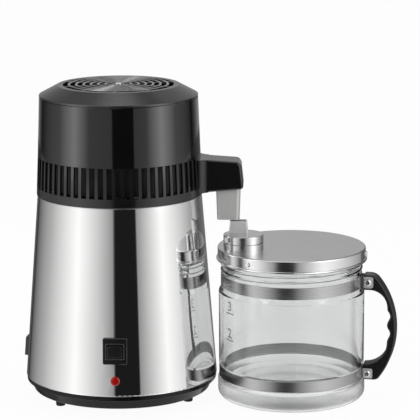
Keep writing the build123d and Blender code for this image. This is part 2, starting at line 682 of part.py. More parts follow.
def module_width():
    """Width of the switch module behind the bezel."""
    return BEZEL_WIDTH - 2 * BEZEL_LAND - 2 * FIT_GAP


def module_height():
    """Height of the switch module behind the bezel."""
    return BEZEL_HEIGHT - 2 * BEZEL_LAND - 2 * FIT_GAP


def make_switch_module():
    """Closed switch behind the wall: guide for the button and its stem, two blades."""
    module = Box(module_width(), module_height(), MODULE_DEPTH, align=HANGING)
    guide_width = BUTTON_WIDTH + 2 * SLIDE_GAP
    guide_height = BUTTON_HEIGHT + 2 * SLIDE_GAP
    button_depth = BUTTON_LENGTH - button_front() + BUTTON_TRAVEL + SLIDE_GAP
    module -= Box(guide_width, guide_height, 2 * button_depth)
    stem_guide = STEM_WIDTH + 2 * SLIDE_GAP
    module -= Box(stem_guide, stem_guide, 2 * (button_depth + STEM_LENGTH))
    blade = Box(BLADE_WIDTH, BLADE_THICKNESS, BLADE_LENGTH, align=HANGING)
    for side in (-1, 1):
        module += Pos(0, side * BLADE_SPACING / 2, -MODULE_DEPTH) * blade
    return SWITCH_PLACE * module


def button_front():
    """How far the button's face stands out from the shell."""
    return BEZEL_PROUD + COLLAR_PROUD + BUTTON_PROUD


def make_push_button():
    """Rectangular push button with a softly dished face and a guide stem."""
    cap = extrude(RectangleRounded(BUTTON_WIDTH, BUTTON_HEIGHT, BEZEL_CORNER), -BUTTON_LENGTH)
    cap = Pos(0, 0, button_front()) * cap
    cap = fillet(cap.faces().sort_by(Axis.Z)[-1].edges(), SWITCH_WALL / 2)
    stem = Box(STEM_WIDTH, STEM_WIDTH, STEM_LENGTH, align=HANGING)
    cap += Pos(0, 0, button_front() - BUTTON_LENGTH) * stem
    return SWITCH_PLACE * cap


def make_lamp_lens():
    """Domed pilot lens seated on the steel."""
    lens = Cylinder(LENS_RADIUS, LENS_PROUD + LENS_RADIUS / 2, align=HANGING)
    lens = Pos(0, 0, LENS_PROUD) * lens
    lens = fillet(lens.faces().sort_by(Axis.Z)[-1].edges(), LENS_PROUD * DOMED_SHARE)
    lens -= Cylinder(LAMP_STEM_RADIUS + FIT_GAP, 2 * SWITCH_WALL)
    return LAMP_PLACE * lens - shell_core(FIT_GAP)


def make_lamp_holder():
    """Lamp holder behind the lens, held by a nut inside the shell."""
    stem = Cylinder(LAMP_STEM_RADIUS, LAMP_LENGTH + SWITCH_WALL, align=HANGING)
    stem = Pos(0, 0, SWITCH_WALL - FIT_GAP) * stem
    nut = extrude(RegularPolygon(LAMP_NUT_RADIUS, 6), -LAMP_NUT_HEIGHT)
    stem += Pos(0, 0, -SHELL_SHEET - 2 * SEAT_GAP) * nut
    return LAMP_PLACE * stem


def socket_face(grow):
    """Inlet outline: a rectangle with its two lower corners cut off."""
    width = SOCKET_WIDTH + 2 * grow
    height = SOCKET_HEIGHT + 2 * grow
    face = Rectangle(width, height)
    return chamfer(face.vertices().sort_by(Axis.Y)[:2], SOCKET_CHAMFER)


def make_power_inlet():
    """Snap-in mains inlet: flange on the steel, keyed socket with a closed back."""
    flange = extrude(RectangleRounded(INLET_WIDTH, INLET_HEIGHT, BEZEL_CORNER), -2 * INLET_PROUD)
    flange = Pos(0, 0, INLET_PROUD) * flange
    flange = INLET_PLACE * flange - shell_core(FIT_GAP)
    depth = SOCKET_DEPTH - INLET_PROUD + INLET_WALL
    root = INLET_PROUD / 2
    sleeve = extrude(socket_face(INLET_WALL - FIT_GAP), -depth - root)
    inlet = flange + INLET_PLACE * Pos(0, 0, root) * sleeve
    cavity = extrude(socket_face(0), -SOCKET_DEPTH)
    inlet -= INLET_PLACE * Pos(0, 0, INLET_PROUD) * cavity
    for x, y in pin_spots():
        slot = Box(PIN_WIDTH + 2 * FIT_GAP, PIN_HEIGHT + 2 * FIT_GAP, 4 * SOCKET_DEPTH)
        inlet -= INLET_PLACE * Pos(x, y, 0) * slot
    return inlet


def pin_spots():
    """Live, neutral and earth places in the inlet."""
    return [(-PIN_SPACING, -EARTH_RISE / 2), (PIN_SPACING, -EARTH_RISE / 2), (0, EARTH_RISE / 2)]


def make_inlet_pins():
    """Three flat pins through the inlet's back."""
    back = INLET_PROUD - SOCKET_DEPTH
    pin = Box(PIN_WIDTH, PIN_HEIGHT, PIN_LENGTH + PIN_TAIL, align=HANGING)
    pins = [INLET_PLACE * Pos(x, y, back + PIN_LENGTH) * pin for x, y in pin_spots()]
    return group(pins)


def contact_sides():
    """Places of the two supply contacts at the back of the rim."""
    return [Pos(side * CONTACT_SPACING / 2, CONTACT_CIRCLE, 0) for side in (-1, 1)]


def make_contact_socket():
    """Insulating block under the tank's flange that feeds the fan."""
    block = Box(CONTACT_BLOCK_WIDTH, CONTACT_BLOCK_DEPTH, CONTACT_BLOCK_HEIGHT, align=HANGING)
    block = Pos(0, CONTACT_CIRCLE, SHELL_TOP_Z) * block
    reach = LEDGE_TOP_Z - CONTACT_PIN_LENGTH - SLIDE_GAP
    for side in contact_sides():
        block -= side * post(CONTACT_PIN_RADIUS + SLIDE_GAP, reach, SHELL_TOP_Z + OVERCUT)
    return block


def make_contact_pins():
    """Two brass pins hung from the head's ledge into the socket."""
    pin = post(CONTACT_PIN_RADIUS, LEDGE_TOP_Z - CONTACT_PIN_LENGTH, LEDGE_TOP_Z)
    pin += post(CONTACT_HEAD_RADIUS, LEDGE_TOP_Z, LEDGE_TOP_Z + CONTACT_HEAD_HEIGHT)
    return group(side * pin for side in contact_sides())


def ring_skin(gap):
    """The space inside the vent ring's outer face, grown by a gap."""
    bottom = (RING_BOTTOM_RADIUS + gap, HEAD_Z, 0)
    top = (DOME_BOTTOM_RADIUS + gap, RING_TOP_Z, 0)
    return turned([(0, HEAD_Z, 0), bottom, top, (0, RING_TOP_Z, 0)])


def dome_radius(z):
    """Outer radius of the dome's side at a height."""
    share = (z - DOME_Z) / DOME_HEIGHT
    return DOME_BOTTOM_RADIUS + (DOME_TOP_RADIUS - DOME_BOTTOM_RADIUS) * share


def slot_angles():
    """Angles of the vent slots, leaving the spout's root plain."""
    step = 360 / SLOT_COUNT
    angles = [step * (i + 0.5) for i in range(SLOT_COUNT)]
    return [angle for angle in angles if SLOTS_OFF_SPOUT < angle < 360 - SLOTS_OFF_SPOUT]


def make_vent_ring():
    """Black ring with upright slots, a ledge inside and a spigot that carries the dome."""
    spigot_top = RING_TOP_Z + RING_SPIGOT_HEIGHT
    spigot = dome_radius(spigot_top) - DOME_WALL - SLIDE_GAP
    spigot_inner = spigot - RING_SPIGOT_WALL
    ring = turned([
        (RING_MOUTH_RADIUS, HEAD_Z, 0),
        (RING_BOTTOM_RADIUS, HEAD_Z, SOFT_EDGE),
        (DOME_BOTTOM_RADIUS, RING_TOP_Z, 0),
        (spigot, RING_TOP_Z, 0),
        (spigot, spigot_top, FINE_EDGE),
        (spigot_inner, spigot_top, FINE_EDGE),
        (spigot_inner, RING_TOP_Z, 0),
        (DOME_BOTTOM_RADIUS - RING_WALL, RING_TOP_Z, 0),
        (RING_BOTTOM_RADIUS - RING_WALL, LEDGE_TOP_Z, 0),
        (RING_MOUTH_RADIUS, LEDGE_TOP_Z, 0),
    ])
    slot_height = RING_HEIGHT - RING_PLAIN_BAND
    slot = Box(4 * RING_WALL, SLOT_WIDTH, slot_height, align=STANDING)
    slot = Pos(DOME_BOTTOM_RADIUS, 0, HEAD_Z + RING_PLAIN_BAND) * slot
    ring -= [Rot(0, 0, angle) * slot for angle in slot_angles()]
    ring -= extrude(spout_side(SPOUT_WALL), SPOUT_HALF_WIDTH - SPOUT_WALL, both=True)
    hole = post(CONTACT_PIN_RADIUS + FIT_GAP, HEAD_Z - OVERCUT, LEDGE_TOP_Z + OVERCUT)
    for side in contact_sides():
        ring -= side * hole
    return ring


def spout_side(inset):
    """Side view of the spout, drawn in by an inset: roof, rounded nose, chin, floor."""
    root = RING_MOUTH_RADIUS
    lean = (SPOUT_REACH - SPOUT_TOP_REACH) / (SPOUT_NOSE_Z - SPOUT_CHIN_Z)
    nose = SPOUT_TOP_REACH - inset + lean * inset
    chin = SPOUT_REACH - inset - lean * inset
    return outline([
        (root, SPOUT_FLOOR_Z + inset, 0),
        (chin, SPOUT_CHIN_Z + inset, SPOUT_CHIN_ROUND),
        (nose, SPOUT_NOSE_Z - inset, SPOUT_NOSE_ROUND - inset),
        (root, SPOUT_ROOF_Z - inset, 0),
    ])


def spout_flare():
    """Plan of the spout's root, sweeping out to meet the round ring on both sides."""
    wide = SPOUT_HALF_WIDTH + SPOUT_FLARE
    meet = math.sqrt(RING_BOTTOM_RADIUS ** 2 - wide ** 2)
    neck = meet + SPOUT_FLARE_LENGTH
    left = TangentArc((neck, SPOUT_HALF_WIDTH), (meet, wide), tangent=(-1, 0))
    right = mirror(left, Plane.XZ)
    inside = RING_MOUTH_RADIUS
    root = Polyline((meet, wide), (inside, wide), (inside, -wide), (meet, -wide))
    end = Line((neck, SPOUT_HALF_WIDTH), (neck, -SPOUT_HALF_WIDTH))
    return make_face([left, right, root, end])


def make_spout_housing():
    """Hollow spout, flared at its root, with a hole in its floor for the nozzle."""
    body = extrude(spout_side(0), SPOUT_HALF_WIDTH, both=True)
    sides = body.faces().filter_by(Axis.Y)
    rims = [edge for face in sides for edge in face.edges() if edge.center().X > RING_BOTTOM_RADIUS]
    body = fillet(rims, SPOUT_EDGE_ROUND)
    flare = extrude(spout_side(0), SPOUT_HALF_WIDTH + SPOUT_FLARE, both=True)
    flare &= Pos(0, 0, HEAD_Z) * extrude(spout_flare(), RING_HEIGHT)
    housing = body + flare
    housing -= ring_skin(FIT_GAP)
    housing -= extrude(spout_side(SPOUT_WALL), SPOUT_HALF_WIDTH - SPOUT_WALL, both=True)
    housing -= nozzle_block(FIT_GAP)
    return housing


def nozzle_block(grow):
    """Tapered block of the nozzle, grown by a gap or drawn in by a wall."""
    top = SPOUT_CHIN_Z + SPOUT_WALL + NOZZLE_INSET
    corner = NOZZLE_CORNER + grow
    width = NOZZLE_WIDTH + 2 * grow
    mouth = RectangleRounded(NOZZLE_BOTTOM_LENGTH + 2 * grow, width, corner)
    collar = RectangleRounded(NOZZLE_TOP_LENGTH + 2 * grow, width, corner)
    return loft([Pos(NOZZLE_X, 0, NOZZLE_MOUTH_Z) * mouth, Pos(NOZZLE_X, 0, top) * collar])


def make_nozzle():
    """Tapered metal nozzle, open at both ends, pushed up through the spout's floor."""
    return nozzle_block(0) - nozzle_block(-NOZZLE_WALL)


def make_dome_cover():
    """Glossy side of the head with a lip turned in at the top."""
    lip = DOME_TOP_RADIUS - DOME_LIP
    return turned([
        (DOME_BOTTOM_RADIUS, DOME_Z, 0),
        (DOME_TOP_RADIUS, DOME_TOP_Z, SOFT_EDGE),
        (lip, DOME_TOP_Z, 0),
        (lip, DOME_TOP_Z - DOME_WALL, 0),
        (DOME_TOP_RADIUS - DOME_WALL, DOME_TOP_Z - DOME_WALL, 0),
        (DOME_BOTTOM_RADIUS - DOME_WALL, DOME_Z, 0),
    ])


def grille_openings():
    """Ring-shaped slots of the fan guard, bridged by spokes."""
    depth = 2 * COVER_WALL
    rings = []
    for i in range(GRILLE_RINGS):
        outer = GRILLE_OUTER_RADIUS - i * (GRILLE_SLOT + GRILLE_BAR)
        rings.append(tube(outer, outer - GRILLE_SLOT, GRILLE_Z - depth, GRILLE_Z + depth))
    spoke = Box(2 * GRILLE_RIM_RADIUS, GRILLE_SPOKE_WIDTH, 6 * depth)
    places = around(GRILLE_SPOKES, GRILLE_RIM_RADIUS, GRILLE_START)
    bars = [place * Pos(0, 0, GRILLE_Z) * spoke for place in places]
    return [ring - bars for ring in rings]


def make_top_grille():
    """Satin top: rim, cone and round fan guard, with four posts for the fan below it."""
    under = GRILLE_Z - COVER_WALL
    inner_rim = GRILLE_RIM_RADIUS - COVER_WALL / 2
    rim = DOME_TOP_RADIUS - DOME_LIP + SLIDE_GAP
    slope = COVER_RISE / (DOME_TOP_RADIUS - GRILLE_RIM_RADIUS)
    skirt = DOME_TOP_RADIUS - COVER_SHADOW_GAP
    top = turned([
        (0, under, 0),
        (inner_rim, under, 0),
        (rim, under - slope * (rim - inner_rim), 0),
        (rim, DOME_TOP_Z, 0),
        (skirt, DOME_TOP_Z, 0),
        (skirt, COVER_Z, 0),
        (DOME_TOP_RADIUS, COVER_Z, FINE_EDGE),
        (DOME_TOP_RADIUS, COVER_SHOULDER_Z, COVER_RIM_ROUND),
        (GRILLE_RIM_RADIUS, GRILLE_Z, SOFT_EDGE),
        (0, GRILLE_Z, 0),
    ])
    top -= grille_openings()
    pilot = SCREW_SHANK_RADIUS + SHAFT_GAP
    for place in fan_posts():
        top += place * post(FAN_POST_RADIUS, POST_END_Z, under + COVER_WALL / 2)
        top -= place * post(pilot, POST_END_Z - OVERCUT, MOUNT_Z + SCREW_DEPTH)
    return top


def make_grille_stud():
    """Bright stud in the middle of the fan guard."""
    dome = STUD_HEIGHT * DOMED_SHARE
    return turned([
        (0, GRILLE_Z, 0),
        (STUD_RADIUS, GRILLE_Z, 0),
        (STUD_RADIUS, GRILLE_Z + STUD_HEIGHT, dome),
        (0, GRILLE_Z + STUD_HEIGHT, 0),
    ])


def make_steam_plate():
    """Steel plate that closes the tank: raised hub, skirt down into the mouth."""
    low = LEDGE_TOP_Z
    high = low + PLATE_SHEET
    skirt = RING_MOUTH_RADIUS - SLIDE_GAP
    hub = PLATE_HUB_RADIUS
    rise = PLATE_RISE
    plate = turned([
        (0, low + rise, 0),
        (hub, low + rise, 0),
        (hub + rise, low, 0),
        (skirt - PLATE_SHEET, low, 0),
        (skirt - PLATE_SHEET, HEAD_Z - PLATE_SKIRT_DEPTH, 0),
        (skirt, HEAD_Z - PLATE_SKIRT_DEPTH, 0),
        (skirt, low, 0),
        (PLATE_RADIUS, low, 0),
        (PLATE_RADIUS, high, FINE_EDGE),
        (hub + rise + PLATE_SHEET / 2, high, 0),
        (hub + PLATE_SHEET / 2, high + rise, 0),
        (0, high + rise, 0),
    ])
    return plate - riser_place() * post(COIL_TUBE + FIT_GAP, low, high + 2 * rise)


def make_seal_ring():
    """Silicone ring round the plate's skirt, under the head's ledge."""
    inner = RING_MOUTH_RADIUS - SLIDE_GAP + FIT_GAP
    outer = TANK_RADIUS - SLIDE_GAP
    low = HEAD_Z - SEAL_HEIGHT
    return turned([(inner, low, 0), (outer, low, FULL_EDGE), (outer, HEAD_Z, 0), (inner, HEAD_Z, 0)])


def coil_radius(half_turn):
    """Radius of one half turn of the flat spiral."""
    return COIL_INNER_RADIUS + COIL_PITCH * half_turn / 2


def coil_centre(half_turn):
    """Middle of one half turn: the two halves of a turn lie half a pitch apart."""
    return COIL_PITCH / 4 if half_turn % 2 else -COIL_PITCH / 4


def riser_place():
    """Where the steam riser comes up through the plate."""
    return Pos(coil_centre(0) + coil_radius(0), -COIL_RISER_BEND, 0)


def arc_mid(bend):
    """Share of a quarter bend's radius that its middle lies inside the corner."""
    return bend * (1 - math.sin(math.radians(45)))


def riser_path():
    """Straight riser and the quarter bend that lays it into the spiral."""
    x = coil_centre(0) + coil_radius(0)
    bend = COIL_RISER_BEND
    foot = (x, -bend, LEDGE_TOP_Z)
    knee = (x, -bend, COIL_Z - bend)
    middle = (x, arc_mid(bend) - bend, COIL_Z - arc_mid(bend))
    return [Line(foot, knee), ThreePointArc(knee, middle, (x, 0, COIL_Z))]


def spiral_path():
    """Flat spiral of half turns, each half a pitch wider than the last."""
    turns = []
    for i in range(COIL_HALF_TURNS):
        side = -1 if i % 2 else 1
        centre = coil_centre(i)
        reach = side * coil_radius(i)
        first = (centre + reach, 0, COIL_Z)
        last = (centre - reach, 0, COIL_Z)
        turns.append(ThreePointArc(first, (centre, reach, COIL_Z), last))
    return turns


def outlet_path():
    """Last part turn, the bend into the spout, the run along it and the drop to the drip end."""
    angle = math.radians(COIL_EXIT_ANGLE)
    radius = coil_radius(COIL_HALF_TURNS)
    centre = coil_centre(COIL_HALF_TURNS)
    leave = Vector(centre + radius * math.cos(angle), -radius * math.sin(angle), COIL_Z)
    last_turn = ThreePointArc((centre - radius, 0, COIL_Z), (centre, -radius, COIL_Z), leave)
    bend = (DRIP_Y - leave.Y) / (1 - math.sin(angle))
    heading = math.pi / 2 - angle
    join = Vector(leave.X + bend * math.sin(heading), DRIP_Y, COIL_Z)
    inside = Vector(bend * math.sin(heading / 2), bend * (1 - math.cos(heading / 2)), 0)
    into_spout = ThreePointArc(leave, join - inside, join)
    turn = Vector(DRIP_X - DRIP_BEND, DRIP_Y, COIL_Z)
    drop = Vector(DRIP_X, DRIP_Y, COIL_Z - DRIP_BEND)
    corner = Vector(DRIP_X - arc_mid(DRIP_BEND), DRIP_Y, COIL_Z - arc_mid(DRIP_BEND))
    end = Vector(DRIP_X, DRIP_Y, NOZZLE_MOUTH_Z + DRIP_SET_BACK)
    return [last_turn, into_spout, Line(join, turn), ThreePointArc(turn, corner, drop), Line(drop, end)]


def least_gap(path):
    """Least clear space between stretches of the tube half a turn or more apart along it."""
    points = [path @ (i / COIL_SAMPLES) for i in range(COIL_SAMPLES + 1)]
    spots = [(point.X, point.Y, point.Z) for point in points]
    half_turn = math.pi * COIL_INNER_RADIUS
    apart = math.ceil(COIL_SAMPLES * half_turn / path.length)
    nearest = min(math.dist(a, b) for i, a in enumerate(spots) for b in spots[i + apart:])
    return nearest - 2 * COIL_TUBE


def make_condenser_coil():
    """Condensing tube: one unbroken sweep from the riser to the drip end, bored at both ends."""
    path = Wire(riser_path() + spiral_path() + outlet_path())
    print(f"condenser_coil: least gap to itself {least_gap(path):.2f} mm over {path.length:.0f} mm")
    section = Plane(origin=path @ 0, z_dir=path % 0) * Circle(COIL_TUBE)
    coil = sweep(section, path)
    foot = Pos(path @ 0) * post(COIL_BORE, 0, 2 * COIL_TUBE)
    mouth = Pos(path @ 1) * post(COIL_BORE, 0, 2 * COIL_TUBE)
    return coil - [foot, mouth]


def make_riser_nut():
    """Hexagon nut that clamps the riser to the plate's hub."""
    low = LEDGE_TOP_Z + PLATE_RISE + PLATE_SHEET
    nut = Pos(0, 0, low) * extrude(RegularPolygon(RISER_NUT_RADIUS, 6), RISER_NUT_HEIGHT)
    nut -= post(COIL_TUBE + SHAFT_GAP, low - OVERCUT, low + RISER_NUT_HEIGHT + OVERCUT)
    return riser_place() * nut


def make_coil_clips():
    """Bent strips that carry the spiral above the plate."""
    top = COIL_Z - COIL_TUBE - FIT_GAP
    floor = LEDGE_TOP_Z + PLATE_SHEET
    outer = coil_radius(COIL_HALF_TURNS) + CLIP_OVERHANG
    length = outer - CLIP_INNER_RADIUS
    middle = (outer + CLIP_INNER_RADIUS) / 2
    inner_leg, outer_leg = CLIP_LEG_INSETS
    strip = Pos(middle, 0, top) * Box(length, CLIP_WIDTH, CLIP_SHEET, align=HANGING)
    for radius in (CLIP_INNER_RADIUS + inner_leg, outer - outer_leg):
        strip += Pos(radius, 0, floor) * Box(CLIP_SHEET, CLIP_WIDTH, top - floor, align=STANDING)
    return group(place * strip for place in around(CLIP_COUNT, 0, CLIP_START))


def fan_posts():
    """Places of the posts that carry the fan under the guard."""
    return around(FAN_POST_COUNT, FAN_POST_CIRCLE, FAN_POST_START)


def make_fan_mount():
    """Cross-shaped bracket screwed under the posts."""
    mount = post(FAN_HUB_PLATE_RADIUS, MOUNT_Z, POST_END_Z)
    arm = Box(FAN_POST_CIRCLE, FAN_ARM_WIDTH, FAN_ARM_THICKNESS, align=STANDING)
    for place in fan_posts():
        mount += place * Pos(-FAN_POST_CIRCLE / 2, 0, MOUNT_Z) * arm
        mount += place * post(FAN_ARM_WIDTH / 2, MOUNT_Z, POST_END_Z)
    hole = post(SCREW_SHANK_RADIUS + FIT_GAP, MOUNT_Z - OVERCUT, POST_END_Z + OVERCUT)
    for place in fan_posts():
        mount -= place * hole
    return mount


def make_mount_screws():
    """Pan-head screws up through the bracket into the posts."""
    screw = post(SCREW_HEAD_RADIUS, MOUNT_Z - SCREW_HEAD_HEIGHT, MOUNT_Z)
    screw = fillet(screw.faces().sort_by(Axis.Z)[0].edges(), SCREW_HEAD_HEIGHT / 2)
    screw += post(SCREW_SHANK_RADIUS, MOUNT_Z - SCREW_HEAD_HEIGHT / 2, MOUNT_Z + SCREW_DEPTH)
    return group(place * screw for place in fan_posts())


def make_fan_motor():
    """Round motor under the bracket, bored for the shaft."""
    motor = turned([
        (0, MOTOR_Z, 0),
        (MOTOR_RADIUS, MOTOR_Z, FULL_EDGE),
        (MOTOR_RADIUS, MOUNT_Z, SOFT_EDGE),
        (0, MOUNT_Z, 0),
    ])
    bore_end = MOTOR_Z + SHAFT_GRIP + SLIDE_GAP
    return motor - post(SHAFT_RADIUS + SHAFT_GAP, MOTOR_Z - OVERCUT, bore_end)


def make_fan_shaft():
    """Motor shaft that carries the rotor."""
    return post(SHAFT_RADIUS, ROTOR_Z, MOTOR_Z + SHAFT_GRIP)


def make_fan_rotor():
    """Hub with pitched blades."""
    middle = ROTOR_Z + ROTOR_HUB_HEIGHT / 2
    length = ROTOR_RADIUS - ROTOR_HUB_RADIUS / 2
    blade = extrude(RectangleRounded(length, BLADE_CHORD, BLADE_CHORD / 4), BLADE_SHEET / 2, both=True)
    blade = Pos(ROTOR_RADIUS - length / 2, 0, middle) * Rot(BLADE_PITCH, 0, 0) * blade
    rotor = turned([
        (0, ROTOR_Z, 0),
        (ROTOR_HUB_RADIUS, ROTOR_Z, FULL_EDGE),
        (ROTOR_HUB_RADIUS, ROTOR_Z + ROTOR_HUB_HEIGHT, SOFT_EDGE),
        (0, ROTOR_Z + ROTOR_HUB_HEIGHT, 0),
    ])
    rotor += [place * blade for place in around(BLADE_COUNT, 0)]
    return rotor - post(SHAFT_RADIUS + SHAFT_GAP, ROTOR_Z - OVERCUT, MOTOR_Z)


def make_glass_jug():
    """Blown glass jug: thick foot, waist for the lower band, shoulder and straight neck."""
    waist_low = LOWER_BAND_Z - SEAT_GAP
    waist_high = LOWER_BAND_Z + LOWER_BAND_HEIGHT + SEAT_GAP
    bulge_step = JUG_BULGE_RADIUS - JUG_WAIST_RADIUS
    body_step = 2 * (JUG_BODY_RADIUS - JUG_WAIST_RADIUS)
    mouth = JUG_NECK_RADIUS - JUG_NECK_WALL
    lip = JUG_NECK_WALL / 3
    return turned([
        (0, JUG_PUNT_DEPTH, 0),
        (JUG_PUNT_RADIUS - 2 * JUG_PUNT_DEPTH, JUG_PUNT_DEPTH, 0),
        (JUG_PUNT_RADIUS, 0, 0),
        (JUG_BULGE_RADIUS, 0, JUG_BULGE_ROUND),
        (JUG_BULGE_RADIUS, waist_low - bulge_step, bulge_step),
        (JUG_WAIST_RADIUS, waist_low, bulge_step / 3),
        (JUG_WAIST_RADIUS, waist_high, body_step / 3),
        (JUG_BODY_RADIUS, waist_high + body_step, body_step / 2),
        (JUG_BODY_RADIUS, JUG_SHOULDER_Z, JUG_SHOULDER_HEIGHT / 2),
        (JUG_NECK_RADIUS, JUG_NECK_Z, JUG_SHOULDER_HEIGHT / 3),
        (JUG_NECK_RADIUS, JUG_HEIGHT, lip),
        (mouth, JUG_HEIGHT, lip),
        (mouth, JUG_NECK_Z, JUG_SHOULDER_HEIGHT / 3),
        (JUG_INNER_RADIUS, JUG_SHOULDER_Z, JUG_SHOULDER_HEIGHT / 2),
        (JUG_INNER_RADIUS, JUG_FLOOR, JUG_INNER_CORNER),
        (0, JUG_FLOOR, 0),
    ])


def band_screw(low, height):
    """Place of the screw that closes a band round the handle's end, along Y."""
    return Pos(EAR_REACH - EAR_SCREW_SET_BACK, 0, low + height / 2) * Rot(90, 0, 0)


def make_band(glass_radius, low, height):
    """Steel strap round the glass whose ends turn out as two ears beside the handle."""
    inner = glass_radius + FIT_GAP
    outer = inner + BAND_SHEET
    half_gap = HANDLE_TONGUE / 2 + FIT_GAP
    strap = tube(outer, inner, low, low + height)
    strap -= Pos(outer, 0, low) * Box(outer, 2 * half_gap, 3 * height)
    root = math.sqrt(outer ** 2 - half_gap ** 2) - BAND_SHEET / 2
    ear = extrude(outline([
        (root, low, 0),
        (EAR_REACH, low, EAR_ROUND),
        (EAR_REACH, low + height, EAR_ROUND),
        (root, low + height, 0),
    ]), BAND_SHEET / 2, both=True)
    for side in (-1, 1):
        strap += Pos(0, side * (half_gap + BAND_SHEET / 2), 0) * ear
    hole = Cylinder(EAR_SCREW_RADIUS + FIT_GAP, 2 * HANDLE_WIDTH)
    strap -= band_screw(low, height) * hole
    return Rot(0, 0, HANDLE_AZIMUTH) * strap


def handle_outer():
    """Outer edge of the handle from its upper root round to its lower root."""
    elbow = (HANDLE_ELBOW, HANDLE_TOP_Z)
    heel = (HANDLE_HEEL, HANDLE_BOTTOM_Z)
    high = (HANDLE_REACH, HANDLE_TOP_Z - SWEEP_SHARE * HANDLE_UPPER_SWEEP)
    low = (HANDLE_REACH, HANDLE_BOTTOM_Z + SWEEP_SHARE * HANDLE_LOWER_SWEEP)
    return [
        Line((HANDLE_ROOT, HANDLE_TOP_Z), elbow),
        TangentArc(high, elbow, tangent=(0, 1)),
        Line(high, low),
        TangentArc(low, heel, tangent=(0, -1)),
        Line(heel, (HANDLE_ROOT, HANDLE_BOTTOM_Z)),
    ]


def handle_inner():
    """Inner edge of the handle: two arms and a wavy grip with a swell between the fingers."""
    valley = GRIP_LEVEL + FINGER_SWELL
    wave = FINGER_PITCH / 4
    centre = (GRIP_HIGH_Z + GRIP_LOW_Z) / 2 + HANDLE_GRIP_LIFT
    reach = GRIP_HEIGHT / 2 - GRIP_CORNER
    edges = []
    for side, arm in ((1, GRIP_HIGH_Z), (-1, GRIP_LOW_Z)):
        bend = GRIP_CREST - GRIP_CORNER + side * HANDLE_GRIP_LIFT
        first_crest = (GRIP_CREST, centre + side * reach)
        settle = (GRIP_LEVEL, centre + side * (reach - wave))
        edges.append(Line((HANDLE_ROOT, arm), (bend, arm)))
        edges.append(TangentArc((bend, arm), first_crest, tangent=(1, 0)))
        edges.append(TangentArc(first_crest, settle, tangent=(0, -side)))
    for i in range(2 * SWELL_COUNT - 3):
        top = centre + reach - wave - 2 * wave * i
        turn = GRIP_CREST if i % 2 else valley
        edges.append(ThreePointArc((GRIP_LEVEL, top), (turn, top - wave), (GRIP_LEVEL, top - 2 * wave)))
    return edges


def make_jug_handle():
    """Moulded handle: D-shaped loop with rounded edges, thinned where the ears clasp it."""
    roots = [
        Line((HANDLE_ROOT, HANDLE_TOP_Z), (HANDLE_ROOT, HANDLE_TOP_Z - HANDLE_UPPER_ARM)),
        Line((HANDLE_ROOT, HANDLE_BOTTOM_Z), (HANDLE_ROOT, HANDLE_BOTTOM_Z + HANDLE_LOWER_ARM)),
    ]
    edges = handle_outer() + handle_inner() + roots
    face = make_face([Plane.XZ * edge for edge in edges])
    handle = extrude(face, HANDLE_WIDTH / 2, both=True)
    for height, corner, bend in (
        (HANDLE_TOP_Z, HANDLE_ELBOW, HANDLE_ELBOW_ROUND), (HANDLE_BOTTOM_Z, HANDLE_HEEL, HANDLE_HEEL_ROUND)
    ):
        edge = handle.edges().filter_by(Axis.Y).sort_by_distance((corner, 0, height))[0]
        handle = fillet(edge, bend)
    sides = handle.faces().filter_by(Axis.Y)
    rims = [edge for side in sides for edge in side.edges() if edge.center().X > HANDLE_ROOT + FIT_GAP]
    handle = fillet(rims, HANDLE_EDGE)
    for low, height in bands():
        length = EAR_REACH - HANDLE_ROOT + SLIDE_GAP
        clasp = Box(2 * length, HANDLE_WIDTH, height + 2 * SLIDE_GAP, align=STANDING)
        for side in (-1, 1):
            away = side * (HANDLE_WIDTH + HANDLE_TONGUE) / 2
            handle -= Pos(HANDLE_ROOT, away, low - SLIDE_GAP) * clasp
        handle -= band_screw(low, height) * Cylinder(EAR_SCREW_RADIUS + FIT_GAP, 2 * HANDLE_WIDTH)
    return Rot(0, 0, HANDLE_AZIMUTH) * handle


def bands():
    """Height and width of the two bands that hold the handle."""
    return [(UPPER_BAND_Z, UPPER_BAND_HEIGHT), (LOWER_BAND_Z, LOWER_BAND_HEIGHT)]


def ear_face():
    """Distance from the handle's middle plane to the outer face of an ear."""
    return HANDLE_TONGUE / 2 + FIT_GAP + BAND_SHEET


def make_handle_screws():
    """Pan-head screws through the ears and the handle, heads to the front."""
    head = Cylinder(EAR_HEAD_RADIUS, EAR_HEAD_HEIGHT, align=STANDING)
    head = fillet(head.faces().sort_by(Axis.Z)[-1].edges(), EAR_HEAD_HEIGHT / 2)
    shank_length = 2 * ear_face() + EAR_NUT_HEIGHT
    screw = Pos(0, 0, ear_face()) * head
    screw += Pos(0, 0, ear_face()) * Cylinder(EAR_SCREW_RADIUS, shank_length, align=HANGING)
    turn = Rot(0, 0, HANDLE_AZIMUTH)
    return group(turn * band_screw(low, height) * screw for low, height in bands())


def make_handle_nuts():
    """Hexagon nuts on the far ends of the handle's screws."""
    nut = extrude(RegularPolygon(EAR_NUT_RADIUS, 6), -EAR_NUT_HEIGHT)
    nut -= Cylinder(EAR_SCREW_RADIUS + SHAFT_GAP, 4 * EAR_NUT_HEIGHT)
    nut = Pos(0, 0, -ear_face()) * nut
    turn = Rot(0, 0, HANDLE_AZIMUTH)
    return group(turn * band_screw(low, height) * nut for low, height in bands())


def cup_place():
    """Place of the filter cup's axis on the lid."""
    return Rot(0, 0, CUP_AZIMUTH) * Pos(CUP_CIRCLE, 0, 0) * Rot(0, 0, -CUP_AZIMUTH)


def pin_places():
    """Places of the lid's pins, each with its Z axis pointing out of the skirt."""
    height = LID_TOP_Z - LID_PIN_DROP
    places = around(LID_PIN_COUNT, LID_RADIUS, LID_PIN_AZIMUTH)
    return [place * Pos(0, 0, height) * Rot(0, 90, 0) for place in places]


